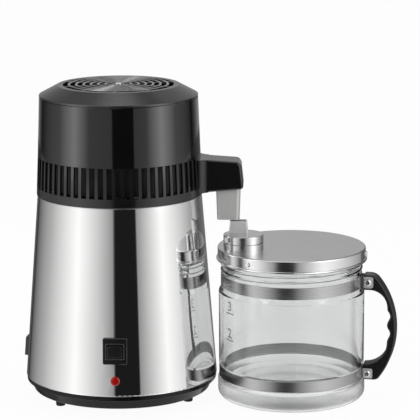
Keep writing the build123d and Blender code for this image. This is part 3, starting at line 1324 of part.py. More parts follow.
def make_jug_lid():
    """Pressed steel lid with a rolled bead along its skirt and a hole for the filter cup."""
    inner = LID_RADIUS - LID_SHEET
    low = LID_TOP_Z - LID_HEIGHT
    lid = turned([
        (0, LID_UNDER_Z, 0),
        (inner, LID_UNDER_Z, LID_EDGE - LID_SHEET),
        (inner, low, 0),
        (LID_RADIUS, low, 0),
        (LID_RADIUS, LID_TOP_Z, LID_EDGE),
        (0, LID_TOP_Z, 0),
    ])
    lid += revolve(Plane.XZ * Pos(LID_RADIUS, low + LID_BEAD) * Circle(LID_BEAD), Axis.Z)
    lid -= cup_place() * post(CUP_RADIUS + FIT_GAP, LID_UNDER_Z - OVERCUT, LID_TOP_Z + OVERCUT)
    for place in pin_places():
        lid -= place * Cylinder(LID_PIN_SHANK + FIT_GAP, 4 * LID_SHEET)
    return lid


def make_lid_seal():
    """Silicone ring between the lid and the rim of the glass."""
    outer = LID_RADIUS - LID_EDGE
    return tube(outer, outer - LID_SEAL_WIDTH, LID_SEAL_Z, LID_UNDER_Z)


def make_lid_pins():
    """Riveted pins whose inner ends run in the thread of the glass neck."""
    head = Cylinder(LID_PIN_RADIUS, LID_PIN_HEAD, align=STANDING)
    head = fillet(head.faces().sort_by(Axis.Z)[-1].edges(), LID_PIN_HEAD * DOMED_SHARE)
    pin = head + Cylinder(LID_PIN_SHANK, LID_SHEET + 2 * FIT_GAP, align=HANGING)
    nose = Cylinder(LID_PIN_RADIUS, LID_PIN_REACH, align=HANGING)
    pin += Pos(0, 0, -LID_SHEET - FIT_GAP) * nose
    return group(place * pin for place in pin_places())


def make_filter_cup():
    """Cup let into the lid: boss above it, perforated floor below it."""
    bore = CUP_RADIUS - CUP_WALL
    low = LID_UNDER_Z - CUP_DEPTH
    cup = turned([
        (0, low, 0),
        (CUP_RADIUS, low, SOFT_EDGE),
        (CUP_RADIUS, LID_TOP_Z, 0),
        (BOSS_RADIUS, LID_TOP_Z, 0),
        (BOSS_RADIUS, BOSS_TOP_Z, FINE_EDGE),
        (bore, BOSS_TOP_Z, 0),
        (bore, low + CUP_WALL, SOFT_EDGE),
        (0, low + CUP_WALL, 0),
    ])
    for place in around(CUP_HOLES, CUP_HOLE_CIRCLE):
        cup -= place * post(CUP_HOLE_RADIUS, low - OVERCUT, low + CUP_WALL + OVERCUT)
    return cup_place() * cup


def make_charcoal_sachet():
    """Round charcoal sachet lying in the cup."""
    radius = CUP_RADIUS - CUP_WALL - SACHET_GAP
    low = LID_UNDER_Z - CUP_DEPTH + CUP_WALL
    high = low + SACHET_HEIGHT
    swell = SACHET_HEIGHT * PUFFED_SHARE
    sachet = turned([(0, low, 0), (radius, low, swell), (radius, high, swell), (0, high, 0)])
    return cup_place() * sachet


def chute_block(inset):
    """Tapered block of the chute, drawn in by a wall."""
    corner = CHUTE_CORNER - inset / 2
    foot = RectangleRounded(CHUTE_BOTTOM_LENGTH - 2 * inset, CHUTE_BOTTOM_DEPTH - 2 * inset, corner)
    mouth = RectangleRounded(CHUTE_TOP_LENGTH - 2 * inset, CHUTE_TOP_DEPTH - 2 * inset, corner)
    block = loft([Pos(0, 0, CAP_TOP_Z) * foot, Pos(0, 0, CHUTE_TOP_Z) * mouth])
    return Pos(CHUTE_X, CHUTE_Y, 0) * block


def make_filter_cap():
    """Turned cap with a plug in the cup, a grip lug and a slot under the chute."""
    plug = CUP_RADIUS - CUP_WALL - SLIDE_GAP
    bore = plug - CAP_PLUG_WALL
    low = BOSS_TOP_Z - CAP_PLUG_DEPTH
    roof = CAP_TOP_Z - CAP_PLUG_WALL
    neck = BOSS_RADIUS - CAP_NECK_INSET
    groove = CAP_Z + CAP_NECK_HEIGHT
    cap = turned([
        (0, roof, 0),
        (bore, roof, 0),
        (bore, low, 0),
        (plug, low, FINE_EDGE),
        (plug, CAP_Z, 0),
        (neck, CAP_Z, 0),
        (neck, groove, 0),
        (BOSS_RADIUS, groove, 0),
        (BOSS_RADIUS, CAP_TOP_Z, CAP_EDGE),
        (0, CAP_TOP_Z, 0),
    ])
    lug = Box(2 * CAP_LUG_LENGTH, CAP_LUG_WIDTH, CAP_LUG_HEIGHT, align=STANDING)
    cap += Rot(0, 0, CAP_LUG_AZIMUTH) * Pos(BOSS_RADIUS, 0, groove + CAP_EDGE) * lug
    slot = Box(CHUTE_BOTTOM_LENGTH - 2 * CHUTE_WALL, CHUTE_BOTTOM_DEPTH - 2 * CHUTE_WALL, CAP_HEIGHT)
    slot = Pos(CHUTE_X, CHUTE_Y, CAP_TOP_Z) * slot
    cap -= slot & post(bore, roof - OVERCUT, CAP_TOP_Z + OVERCUT)
    return cup_place() * cap


def make_drip_chute():
    """Open-topped chute welded to the cap, under the nozzle."""
    return cup_place() * (chute_block(0) - chute_block(CHUTE_WALL))


def body_pieces():
    """Pieces drawn about the body's axis."""
    return {
        "base_pan": make_base_pan(),
        "rubber_feet": make_rubber_feet(),
        "outer_shell": make_outer_shell(),
        "boiling_tank": make_boiling_tank(),
        "tank_floor": make_tank_floor(),
        "tank_rim": make_tank_rim(),
        "heater_plate": make_heater_plate(),
        "heating_element": make_heating_element(),
        "element_clamp": make_element_clamp(),
        "thermal_cutout": make_thermal_cutout(),
        "tie_rods": make_tie_rods(),
        "base_nuts": make_base_nuts(),
        "switch_bezel": make_switch_bezel(),
        "switch_module": make_switch_module(),
        "push_button": make_push_button(),
        "lamp_lens": make_lamp_lens(),
        "lamp_holder": make_lamp_holder(),
        "power_inlet": make_power_inlet(),
        "inlet_pins": make_inlet_pins(),
        "contact_socket": make_contact_socket(),
        "contact_pins": make_contact_pins(),
        "vent_ring": make_vent_ring(),
        "spout_housing": make_spout_housing(),
        "nozzle": make_nozzle(),
        "dome_cover": make_dome_cover(),
        "top_grille": make_top_grille(),
        "grille_stud": make_grille_stud(),
        "steam_plate": make_steam_plate(),
        "seal_ring": make_seal_ring(),
        "condenser_coil": make_condenser_coil(),
        "riser_nut": make_riser_nut(),
        "coil_clips": make_coil_clips(),
        "fan_mount": make_fan_mount(),
        "mount_screws": make_mount_screws(),
        "fan_motor": make_fan_motor(),
        "fan_shaft": make_fan_shaft(),
        "fan_rotor": make_fan_rotor(),
    }


def jug_pieces():
    """Pieces drawn about the jug's axis."""
    return {
        "glass_jug": make_glass_jug(),
        "upper_band": make_band(JUG_NECK_RADIUS, UPPER_BAND_Z, UPPER_BAND_HEIGHT),
        "lower_band": make_band(JUG_WAIST_RADIUS, LOWER_BAND_Z, LOWER_BAND_HEIGHT),
        "jug_handle": make_jug_handle(),
        "handle_screws": make_handle_screws(),
        "handle_nuts": make_handle_nuts(),
        "jug_lid": make_jug_lid(),
        "lid_seal": make_lid_seal(),
        "lid_pins": make_lid_pins(),
        "filter_cup": make_filter_cup(),
        "charcoal_sachet": make_charcoal_sachet(),
        "filter_cap": make_filter_cap(),
        "drip_chute": make_drip_chute(),
    }


def main():
    os.makedirs("parts", exist_ok=True)
    for pieces, x in ((body_pieces(), BODY_X), (jug_pieces(), JUG_X)):
        for name, piece in pieces.items():
            export_step(Pos(x, 0, 0) * piece, f"parts/{name}.step")


if __name__ == "__main__":
    main()
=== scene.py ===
# %% [markdown]
# # A countertop water distiller
# The imported CAD model brings every hard piece at its true place, in metres. This script dresses it. It gives finishes
# to the steel, the black plastics and the glass. It makes a blown glass jug with its thread and marks, screws with a
# cross recess, a swollen charcoal sachet, an air guide behind the slots that is near black as painted shade, and a fine
# lip and beads whose pale finish is a painted highlight.
# A light tent stands round it all, because polished steel shows what is round it.
# The CAD box is kept straight after loading.

# %% Load the imported model
import json
import math

import bmesh
import bpy
from mathutils import Matrix, Vector, noise


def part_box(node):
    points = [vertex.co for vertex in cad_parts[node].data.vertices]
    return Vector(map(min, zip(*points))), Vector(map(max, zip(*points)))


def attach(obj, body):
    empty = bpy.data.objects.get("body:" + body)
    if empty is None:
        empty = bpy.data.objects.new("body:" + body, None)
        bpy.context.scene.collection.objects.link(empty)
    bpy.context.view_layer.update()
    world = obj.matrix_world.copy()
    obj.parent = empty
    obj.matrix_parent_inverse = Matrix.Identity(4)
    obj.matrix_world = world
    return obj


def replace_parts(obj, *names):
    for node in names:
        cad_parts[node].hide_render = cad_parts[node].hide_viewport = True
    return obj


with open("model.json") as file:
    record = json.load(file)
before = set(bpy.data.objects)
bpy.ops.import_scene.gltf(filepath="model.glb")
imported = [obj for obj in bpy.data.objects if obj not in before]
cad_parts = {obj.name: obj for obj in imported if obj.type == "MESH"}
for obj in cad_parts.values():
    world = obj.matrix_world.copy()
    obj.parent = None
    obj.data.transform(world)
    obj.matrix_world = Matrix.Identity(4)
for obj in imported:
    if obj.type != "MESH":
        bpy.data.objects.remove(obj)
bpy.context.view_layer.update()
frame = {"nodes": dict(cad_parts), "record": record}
nodes = frame["nodes"]

# %% [markdown]
# ## Two axes
# Almost everything here is turned about one of two upright axes, the boiling body's and the jug's. Both are read
# off the boxes of round nodes, so no place has to be typed in.


# %% Find the axes
def middle(node):
    """Middle of a node's box at rest."""
    low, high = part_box(node)
    return (low + high) / 2


body_axis = middle("dome_cover")
jug_axis = middle("lid_seal")
print("body axis", body_axis.xy, "jug axis", jug_axis.xy)

# %% [markdown]
# ## Camera
# The camera was fitted to the circles of the body and the jug in the picture, which is square. It stands two and a
# half metres away with a long lens, so the picture has hardly any perspective. Its place is given from the body's
# axis, because the frame's origin lies under the middle of the whole model and moves a little with its reach.

# %% Place the camera
UP = Vector((0, 0, 1))
LENS_MM, SENSOR_MM, FAR_CLIP = 186.26, 36.0, 50
CAMERA_PLACE = Vector((body_axis.x + 0.1819, -2.5378, 0.7503))
CAMERA_LOOK = Vector((-0.0287, 0.9790, -0.2020)).normalized()
CAMERA_ROLL = math.radians(-0.237)

flat_right = CAMERA_LOOK.cross(UP).normalized()
flat_up = flat_right.cross(CAMERA_LOOK)
right = flat_right * math.cos(CAMERA_ROLL) + flat_up * math.sin(CAMERA_ROLL)
up = right.cross(CAMERA_LOOK)
view = bpy.data.cameras.new("photo_camera")
view.sensor_fit, view.sensor_width, view.lens = "HORIZONTAL", SENSOR_MM, LENS_MM
view.clip_end = FAR_CLIP
camera = bpy.data.objects.new("photo_camera", view)
camera.matrix_world = Matrix.Translation(CAMERA_PLACE) @ Matrix((right, up, -CAMERA_LOOK)).transposed().to_4x4()
bpy.context.scene.collection.objects.link(camera)
bpy.context.scene.camera = camera
print("camera", tuple(round(v, 3) for v in camera.location))

# %% [markdown]
# ## Nodes of a finish
# Every finish is a Principled shader fed by noise on Object coordinates. A Mapping node of the Texture kind divides
# by its scale, so a grain is given simply by its size in metres along X, Y and Z. Noise goes from 0 to 1 but keeps
# mostly to the middle, so shades and roughness are spread over that middle.

# %% Small helpers for finishes
NOISE_MIDDLE = (0.3, 0.7)


def new_finish(name, metallic=0.0, ior=1.5):
    """A node material and its Principled shader, with the constants set on the shader's own sockets."""
    material = bpy.data.materials.new(name)
    material.use_nodes = True
    shader = material.node_tree.nodes["Principled BSDF"]
    shader.inputs["Metallic"].default_value = metallic
    shader.inputs["IOR"].default_value = ior
    return material, material.node_tree, shader


def object_place(tree):
    """A point's place on its piece, which is its place in the frame as well."""
    return tree.nodes.new("ShaderNodeTexCoord").outputs["Object"]


def parted(tree, vector):
    """The outputs X, Y and Z of a vector."""
    parts = tree.nodes.new("ShaderNodeSeparateXYZ")
    tree.links.new(vector, parts.inputs[0])
    return parts.outputs


def grain(tree, size, detail=3.0, vector=None):
    """Noise whose cells have the given size in metres; gives the height from 0 to 1."""
    mapping = tree.nodes.new("ShaderNodeMapping")
    mapping.vector_type = "TEXTURE"
    mapping.inputs["Scale"].default_value = size
    tree.links.new(object_place(tree) if vector is None else vector, mapping.inputs["Vector"])
    cells = tree.nodes.new("ShaderNodeTexNoise")
    cells.inputs["Scale"].default_value = 1.0
    cells.inputs["Detail"].default_value = detail
    tree.links.new(mapping.outputs["Vector"], cells.inputs["Vector"])
    return cells.outputs["Fac"]


def turned_place(tree, axis):
    """Place as (distance from an upright axis, height, 0), so that grain runs round the axis."""
    place = object_place(tree)
    flat = tree.nodes.new("ShaderNodeVectorMath")
    flat.operation = "MULTIPLY_ADD"
    flat.inputs[1].default_value = (1, 1, 0)
    flat.inputs[2].default_value = (-axis.x, -axis.y, 0)
    tree.links.new(place, flat.inputs[0])
    length = tree.nodes.new("ShaderNodeVectorMath")
    length.operation = "LENGTH"
    tree.links.new(flat.outputs["Vector"], length.inputs[0])
    joined = tree.nodes.new("ShaderNodeCombineXYZ")
    tree.links.new(length.outputs["Value"], joined.inputs["X"])
    tree.links.new(parted(tree, place)["Z"], joined.inputs["Y"])
    return joined.outputs["Vector"]


def ranged(tree, value, source, target):
    """A number that goes through the target's range as the value goes through the source's."""
    span = tree.nodes.new("ShaderNodeMapRange")
    span.inputs["From Min"].default_value, span.inputs["From Max"].default_value = source
    span.inputs["To Min"].default_value, span.inputs["To Max"].default_value = target
    tree.links.new(value, span.inputs["Value"])
    return span.outputs["Result"]


def roughen(tree, height, rough, shader):
    """Roughness that wanders between two values with the height."""
    tree.links.new(ranged(tree, height, NOISE_MIDDLE, rough), shader.inputs["Roughness"])


def tint(tree, height, dark, light, shader):
    """Colour that wanders between two shades with the height."""
    ramp = tree.nodes.new("ShaderNodeValToRGB")
    for element, position, shade in zip(ramp.color_ramp.elements, NOISE_MIDDLE, (dark, light)):
        element.position, element.color = position, (*shade, 1)
    tree.links.new(height, ramp.inputs["Fac"])
    tree.links.new(ramp.outputs["Color"], shader.inputs["Base Color"])


def relief(tree, height, depth, shader):
    """Bump of the given depth in metres."""
    bump = tree.nodes.new("ShaderNodeBump")
    bump.inputs["Distance"].default_value = depth
    tree.links.new(height, bump.inputs["Height"])
    tree.links.new(bump.outputs["Normal"], shader.inputs["Normal"])


# %% [markdown]
# ## Metals
# The skirt is polished like a mirror, with only a faint wave left by the rolls. The tank's steel is drawn, with fine
# rings round its axis, and the cast and turned metals inside are duller. One function makes them all, because they
# differ only in shade, grain and roughness, and a table holds what they differ in. The nozzle and the chute are plastic
# with a silver finish, so they are only part metal.


# %% Make the metals
def even(number):
    """The same number three times: a grey, or a size along X, Y and Z."""
    return (number, number, number)


def metal(name, dark, light, rough, size, depth, around=None, metallic=1.0):
    """A metal whose grain has the given size; around an axis, the grain runs round it."""
    material, tree, shader = new_finish(name, metallic=metallic)
    height = grain(tree, size, vector=None if around is None else turned_place(tree, around))
    tint(tree, height, dark, light, shader)
    roughen(tree, height, rough, shader)
    relief(tree, height, depth, shader)
    return material


BRIGHT, PALE, MID, DULL = even(0.86), even(0.74), even(0.60), even(0.45)
SILVERED, FINE_DRAWN = 0.35, (0.0004, 0.0004, 0.012)
METALS = {
    # dark and light shade, range of roughness, size of the grain, depth of its relief, axis, share of metal
    "polished_steel": ((0.83, 0.83, 0.825), (0.87, 0.87, 0.865), (0.03, 0.06), (0.05, 0.05, 0.16), 1e-5),
    "drawn_steel": (MID, PALE, (0.22, 0.34), (0.0006, 0.004, 1), 6e-6, body_axis),
    "coil_steel": (even(0.16), even(0.25), (0.4, 0.55), even(0.003), 1e-5),
    "fastener_steel": (PALE, BRIGHT, (0.12, 0.28), even(0.002), 1e-5),
    "element_steel": ((0.2, 0.19, 0.18), (0.34, 0.32, 0.3), (0.35, 0.55), even(0.004), 2e-5),
    "cast_aluminium": (DULL, MID, (0.45, 0.65), even(0.0012), 8e-5),
    "motor_steel": (DULL, MID, (0.25, 0.4), (0.001, 0.001, 0.02), 1e-5),
    "contact_brass": ((0.66, 0.46, 0.17), (0.80, 0.58, 0.25), (0.2, 0.35), even(0.002), 1e-5),
    "spout_metal": ((0.56, 0.56, 0.555), (0.64, 0.64, 0.635), (0.36, 0.46), FINE_DRAWN, 1.2e-5, None, SILVERED),
    "chute_metal": ((0.74, 0.74, 0.735), (0.82, 0.82, 0.815), (0.30, 0.40), FINE_DRAWN, 1.2e-5, None, SILVERED),
}
finishes = {name: metal(name, *row) for name, row in METALS.items()}
print("metals", len(finishes))

# %% [markdown]
# ## The jug's bands
# Each band is brushed round the jug, and its two ears, which grip the handle, are tumbled satin and paler. Band and
# ears are one strip of steel, so one finish serves both: beyond a distance from the jug's axis it turns rough and pale.

# %% Make the band steel
BAND_GRAIN, BAND_RELIEF, BAND_ROUGH, BAND_SHADE = (0.0006, 0.0005, 1), 4e-6, (0.24, 0.34), (0.42, 0.54)
EAR_START, EAR_ADDS = (0.0885, 0.0895), 0.35


def math_node(tree, operation, first, second):
    """A Math node of two inputs, each a socket or a number."""
    node = tree.nodes.new("ShaderNodeMath")
    node.operation = operation
    for value, socket in zip((first, second), node.inputs):
        if isinstance(value, bpy.types.NodeSocket):
            tree.links.new(value, socket)
        else:
            socket.default_value = value
    return node.outputs[0]


def band_steel():
    """Steel that is brushed round the jug's axis, and rough and pale on the ears."""
    material, tree, shader = new_finish("band_steel", metallic=1.0)
    place = turned_place(tree, jug_axis)
    height = grain(tree, BAND_GRAIN, vector=place)
    ear = ranged(tree, parted(tree, place)["X"], EAR_START, (0, EAR_ADDS))
    for span, socket in ((BAND_ROUGH, "Roughness"), (BAND_SHADE, "Base Color")):
        total = math_node(tree, "ADD", ear, ranged(tree, height, NOISE_MIDDLE, span))
        tree.links.new(total, shader.inputs[socket])
    relief(tree, height, BAND_RELIEF, shader)
    return material


finishes["band_steel"] = band_steel()
print("ears start", EAR_START[0], "m from the jug's axis")

# %% [markdown]
# ## The lid's two finishes
# The lid's side was polished in the lathe, and its top was left satin, with straight fine scratches. It is one piece
# of steel, so one finish serves both: the height decides how rough it is, and the last millimetre below the top edge
# is where one turns into the other. The filter cap and its cup are turned bright all over.

# %% Make the lid's steel
LID_GRAIN, LID_RELIEF, LID_SHADES = (0.03, 0.0005, 0.0005), 4e-6, (even(0.74), even(0.84))
LID_EDGE, LID_ROUGH = (0.0012, 0.0001), (0.2, 0.36)


def lid_steel(top):
    """Steel with straight scratches, polished on the side and satin on the top."""
    material, tree, shader = new_finish("lid_steel", metallic=1.0)
    height = grain(tree, LID_GRAIN)
    tint(tree, height, *LID_SHADES, shader)
    satin = ranged(tree, parted(tree, object_place(tree))["Z"], (top - LID_EDGE[0], top - LID_EDGE[1]), LID_ROUGH)
    tree.links.new(satin, shader.inputs["Roughness"])
    relief(tree, height, LID_RELIEF, shader)
    return material


finishes["lid_steel"] = lid_steel(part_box("jug_lid")[1].z)
finishes["cap_steel"] = metal("cap_steel", even(0.72), even(0.82), (0.20, 0.28), (0.004, 0.0004, 1), 3e-6,
                              middle("filter_cap"))
print("lid and cap, finishes so far", len(finishes))

# %% [markdown]
# ## Plastics and rubber
# The dome is moulded in gloss black with a trace of orange peel. The vent ring and the spout have a finer texture and
# are a little duller, the top is a dark grey, and the base pan is as black as the dome but mirrors less. Gloss comes
# from the shader, and the noise only breaks it up.

# %% Make the plastics
SHADE_CELLS = even(0.03)


def moulded(name, dark, light, rough, size, depth, ior=1.5):
    """A moulded plastic or rubber with an even texture of the given size and depth."""
    material, tree, shader = new_finish(name, ior=ior)
    height = grain(tree, even(size))
    tint(tree, grain(tree, SHADE_CELLS), dark, light, shader)
    roughen(tree, height, rough, shader)
    relief(tree, height, depth, shader)
    return material


PLASTICS = {
    # dark and light shade, range of roughness, size and depth of the texture, index of refraction
    "gloss_black": (even(0.003), even(0.005), (0.05, 0.09), 0.004, 4e-6, 1.7),
    "satin_black": (even(0.006), even(0.010), (0.09, 0.14), 0.0008, 6e-6, 1.6),
    "top_grey": (even(0.018), even(0.026), (0.20, 0.26), 0.0005, 1e-5, 1.75),
    "base_black": (even(0.003), even(0.005), (0.10, 0.16), 0.0006, 1e-5, 1.33),
    "fan_black": (even(0.012), even(0.02), (0.4, 0.5), 0.001, 2e-5),
    "handle_black": (even(0.008), even(0.014), (0.20, 0.32), 0.0006, 3e-5),
    "switch_black": (even(0.004), even(0.008), (0.16, 0.26), 0.0006, 1e-5),
    "foot_rubber": (even(0.02), even(0.03), (0.7, 0.85), 0.0008, 5e-5),
    "seal_silicone": ((0.55, 0.55, 0.53), (0.65, 0.65, 0.63), (0.4, 0.5), 0.001, 2e-5),
    "charcoal_cloth": (even(0.5), even(0.62), (0.8, 0.95), 0.0007, 2e-4),
}
for name, row in PLASTICS.items():
    finishes[name] = moulded(name, *row)
print("plastics, finishes so far", len(finishes))

# %% [markdown]
# ## Glass and the red lens
# Blown glass is never quite even: a broad faint wave in its surface bends what stands behind it. The tint is set on
# the shader's own colour. The thick foot keeps the mould's dull skin, so the roughness grows below a height. The
# raised marks are the same glass, left frosted by the mould. The lens is red plastic with a weak glow, as the lamp is
# drawn lit.

# %% Make the glass and the lens
FOOT_TOP, FOOT_FADE, FOOT_ROUGH = 0.024, 0.002, 0.22
LENS_SHADES, LENS_ROUGH, LENS_GRAIN = ((0.22, 0.001, 0.001), (0.36, 0.002, 0.002)), (0.06, 0.12), even(0.0012)
LENS_GLOW, LENS_GLOW_STRENGTH, LENS_COAT = (0.8, 0.02, 0.01), 0.05, 0.25


def glass(name, shade, rough, size, depth):
    """Tinted glass with a faint wave, dull below the top of the foot."""
    material, tree, shader = new_finish(name)
    shader.inputs["Base Color"].default_value = (*shade, 1)
    shader.inputs["Transmission Weight"].default_value = 1.0
    wave = grain(tree, size, detail=1.0)
    foot = ranged(tree, parted(tree, object_place(tree))["Z"], (FOOT_TOP, FOOT_TOP + FOOT_FADE), (FOOT_ROUGH, 0))
    total = math_node(tree, "ADD", foot, ranged(tree, wave, NOISE_MIDDLE, rough))
    tree.links.new(total, shader.inputs["Roughness"])
    relief(tree, wave, depth, shader)
    return material


def red_lens():
    """Red plastic with a weak glow under a thin gloss."""
    material, tree, shader = new_finish("red_lens", ior=1.42)
    height = grain(tree, LENS_GRAIN)
    tint(tree, height, *LENS_SHADES, shader)
    roughen(tree, height, LENS_ROUGH, shader)
    shader.inputs["Emission Color"].default_value = (*LENS_GLOW, 1)
    shader.inputs["Emission Strength"].default_value = LENS_GLOW_STRENGTH
    shader.inputs["Coat Weight"].default_value = LENS_COAT
    return material


finishes["clear_glass"] = glass("clear_glass", (0.82, 0.83, 0.826), (0.0, 0.015), (0.03, 0.03, 0.012), 4e-5)
finishes["frosted_glass"] = glass("frosted_glass", (0.84, 0.85, 0.846), (0.35, 0.55), even(0.0008), 3e-5)
finishes["red_lens"] = red_lens()
print("glass and lens, finishes so far", len(finishes))

# %% [markdown]
# ## Dressing the CAD nodes
# Each node names a material slot in the record, and the finishes carry the slots' names, so most nodes are dressed by
# one loop. Three pieces share a slot with others but look a little different, so they are named.

# %% Dress the nodes
OWN_FINISH = {"filter_cap": "cap_steel", "filter_cup": "cap_steel", "drip_chute": "chute_metal"}
slot_of = {part["node"]: part["material_slot"] for part in frame["record"]["subparts"]}
for name, piece in nodes.items():
    piece.data.materials.clear()
    piece.data.materials.append(finishes[OWN_FINISH.get(name, slot_of[name])])
print("finished nodes", len(nodes))

# %% [markdown]
# ## Turning a piece
# A turned piece starts as a few corner points. Each corner is rounded by a vertex bevel, whose offset is the length
# from the corner to where the arc starts, and the line is then spun once round its axis.

# %% Helpers for turned pieces
STRAIGHT, ROUND_SEGMENTS, MERGE = 0.02, 6, 1e-6


def rounded_line(bm, corners):
    """Join corners (radius, height, round) by edges in the XZ plane and round them."""
    points = [bm.verts.new((radius, 0, height)) for radius, height, _ in corners]
    for first, second in zip(points, points[1:]):
        bm.edges.new((first, second))
    for i in range(1, len(corners) - 1):
        here, before, after = (Vector(corners[k][:2]) for k in (i, i - 1, i + 1))
        bend = (before - here).angle(after - here)
        if corners[i][2] > 0 and math.pi - bend > STRAIGHT:
            bmesh.ops.bevel(bm, geom=[points[i]], offset=corners[i][2] / math.tan(bend / 2), affect="VERTICES",
                            segments=ROUND_SEGMENTS, profile=0.5, material=-1)


def closed(bm, near=MERGE):
    """Merge points as near as that to each other, which closes seams and poles, and turn the faces outwards."""
    bmesh.ops.remove_doubles(bm, verts=bm.verts[:], dist=near)
    bmesh.ops.recalc_face_normals(bm, faces=bm.faces[:])


def spun(bm, steps, near=MERGE):
    """Spin a line once round Z and close it."""
    bmesh.ops.spin(bm, geom=bm.verts[:] + bm.edges[:], cent=(0, 0, 0), axis=(0, 0, 1), angle=2 * math.pi, steps=steps,
                   use_merge=True)
    closed(bm, near)


def carried(bm, axis, scale=1):
    """Scale what was turned about Z, and carry it to an upright axis."""
    bmesh.ops.scale(bm, vec=even(scale), verts=bm.verts[:])
    bmesh.ops.translate(bm, vec=(axis.x, axis.y, 0), verts=bm.verts[:])


def finished(name, bm, body, slot, sharp=35, finish=None):
    """Turn a bmesh into a smooth piece that rides on a body and takes its finish from a slot."""
    mesh = bpy.data.meshes.new(name)
    bm.to_mesh(mesh)
    bm.free()
    mesh.polygons.foreach_set("use_smooth", [True] * len(mesh.polygons))
    mesh.set_sharp_from_angle(angle=math.radians(sharp))
    mesh.materials.append(finishes[finish or slot])
    piece = bpy.data.objects.new(name, mesh)
    bpy.context.scene.collection.objects.link(piece)
    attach(piece, body)
    print(name, "faces", len(mesh.polygons))
    return piece


# %% [markdown]
# ## The blown jug
# The glass has a thick foot, a waist that holds the lower band, a shoulder and a neck with a coarse thread that the
# lid's pins run in. The outline is the CAD jug's, and the hollow under the foot is one shallow dome, because a steeper
# one mirrors the dark lid into the foot. The neck is divided finely before the spin, and its outer points are then
# moved out where the thread passes, so wall and thread are one closed skin, as glass has to be.

# %% Turn the jug
MM = 0.001
THREAD_LOW, THREAD_HIGH, THREAD_PITCH, THREAD_RISE, THREAD_FADE, THREAD_CREST = 152.6, 166.8, 6.6, 1.25, 2, 1.5
NECK_RADIUS, NECK_CUTS, ON_LINE, ON_WALL, GLASS_STEPS = 83.8, 90, 1e-4, 1e-3, 200
GLASS_LINE = [
    # radius, height and round of each corner in millimetres, from the hollow up the outside and down the inside
    (0, 8.0, 0), (37.0, 8.0, 340.0), (74.0, 0, 0), (88.4, 0, 9.0), (88.4, 23.75, 2.4), (86.0, 26.15, 0.8),
    (86.0, 38.65, 0.85), (87.3, 41.25, 1.3), (87.3, 130.0, 2.75), (NECK_RADIUS, 135.5, 1.8),
    (NECK_RADIUS, 179.2, 1.13), (80.4, 179.2, 1.13), (80.4, 135.5, 1.8), (83.0, 130.0, 2.75), (83.0, 18.0, 9.0),
    (0, 18.0, 0),
]
bm = bmesh.new()
rounded_line(bm, GLASS_LINE)
neck = [e for e in bm.edges if all(abs(v.co.x - NECK_RADIUS) < ON_LINE for v in e.verts)]
bmesh.ops.subdivide_edges(bm, edges=neck, cuts=NECK_CUTS)
spun(bm, GLASS_STEPS)
for point in bm.verts:
    if abs(point.co.xy.length - NECK_RADIUS) < ON_WALL and THREAD_LOW < point.co.z < THREAD_HIGH:
        turn = math.atan2(point.co.y, point.co.x) / (2 * math.pi)
        wave = math.cos(2 * math.pi * ((point.co.z - THREAD_LOW) / THREAD_PITCH - turn))
        fade = min(1, (point.co.z - THREAD_LOW) / THREAD_FADE, (THREAD_HIGH - point.co.z) / THREAD_FADE)
        swell = 1 + THREAD_RISE * fade * max(0, wave) ** THREAD_CREST / NECK_RADIUS
        point.co.x, point.co.y = point.co.x * swell, point.co.y * swell
carried(bm, jug_axis, MM)
jug_glass = finished("blown_jug", bm, "jug", "clear_glass")
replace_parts(jug_glass, "glass_jug")

# %% [markdown]
# ## Litre marks
# Raised numerals and ticks stand on the left of the glass. A numeral starts as a text, is made a mesh, and its points
# are then bent round the jug, so that it lies on the wall instead of standing off it like a plate. A tick is a bar
# with rounded edges, divided along its length so that it bends too.

# %% Bend a numeral round the glass
MARK_AZIMUTH, MARK_HEIGHT, MARK_RISE, MARK_SWELL = math.radians(-147), 12 * MM, 0.6 * MM, 0.25 * MM
FONT_SHARE, FONT_STEPS = 0.73, 4
WALL_RADIUS, MARK_GAP = 87.3 * MM, 0.03 * MM


def bent_round(bm, azimuth, height):
    """Bend a flat sign (x along, y up, z out) round the jug's wall."""
    for point in bm.verts:
        angle = azimuth + point.co.x / WALL_RADIUS
        out = WALL_RADIUS + MARK_GAP + point.co.z
        point.co = (jug_axis.x + out * math.cos(angle), jug_axis.y + out * math.sin(angle), height + point.co.y)


def numeral(text, height):
    """A raised numeral, as a bmesh that lies on the wall."""
    curve = bpy.data.curves.new("numeral_" + text, "FONT")
    curve.body, curve.size, curve.extrude = text, MARK_HEIGHT / FONT_SHARE, MARK_RISE / 2
    curve.align_x, curve.resolution_u, curve.offset = "CENTER", FONT_STEPS, MARK_SWELL
    sign = bpy.data.objects.new("numeral_" + text, curve)
    bpy.context.scene.collection.objects.link(sign)
    mesh = bpy.data.meshes.new_from_object(sign.evaluated_get(bpy.context.evaluated_depsgraph_get()))
    bm = bmesh.new()
    bm.from_mesh(mesh)
    bpy.data.objects.remove(sign)
    bpy.data.meshes.remove(mesh)
    bmesh.ops.remove_doubles(bm, verts=bm.verts[:], dist=MERGE / 10)
    bmesh.ops.translate(bm, vec=(0, -MARK_HEIGHT / 2, MARK_RISE / 2), verts=bm.verts[:])
    bent_round(bm, MARK_AZIMUTH, height)
    return bm


print("marks at", round(math.degrees(MARK_AZIMUTH)), "degrees round the jug")

# %% Lay a tick under each numeral
TICK_LENGTH, TICK_WIDTH, TICK_DROP, TICK_CUTS = 15 * MM, 1.4 * MM, 9 * MM, 8
SHARP_TURN, MARK_SHARP = 1, 30
MARK_HEIGHTS = {"3": 120.5 * MM, "2": 88 * MM}


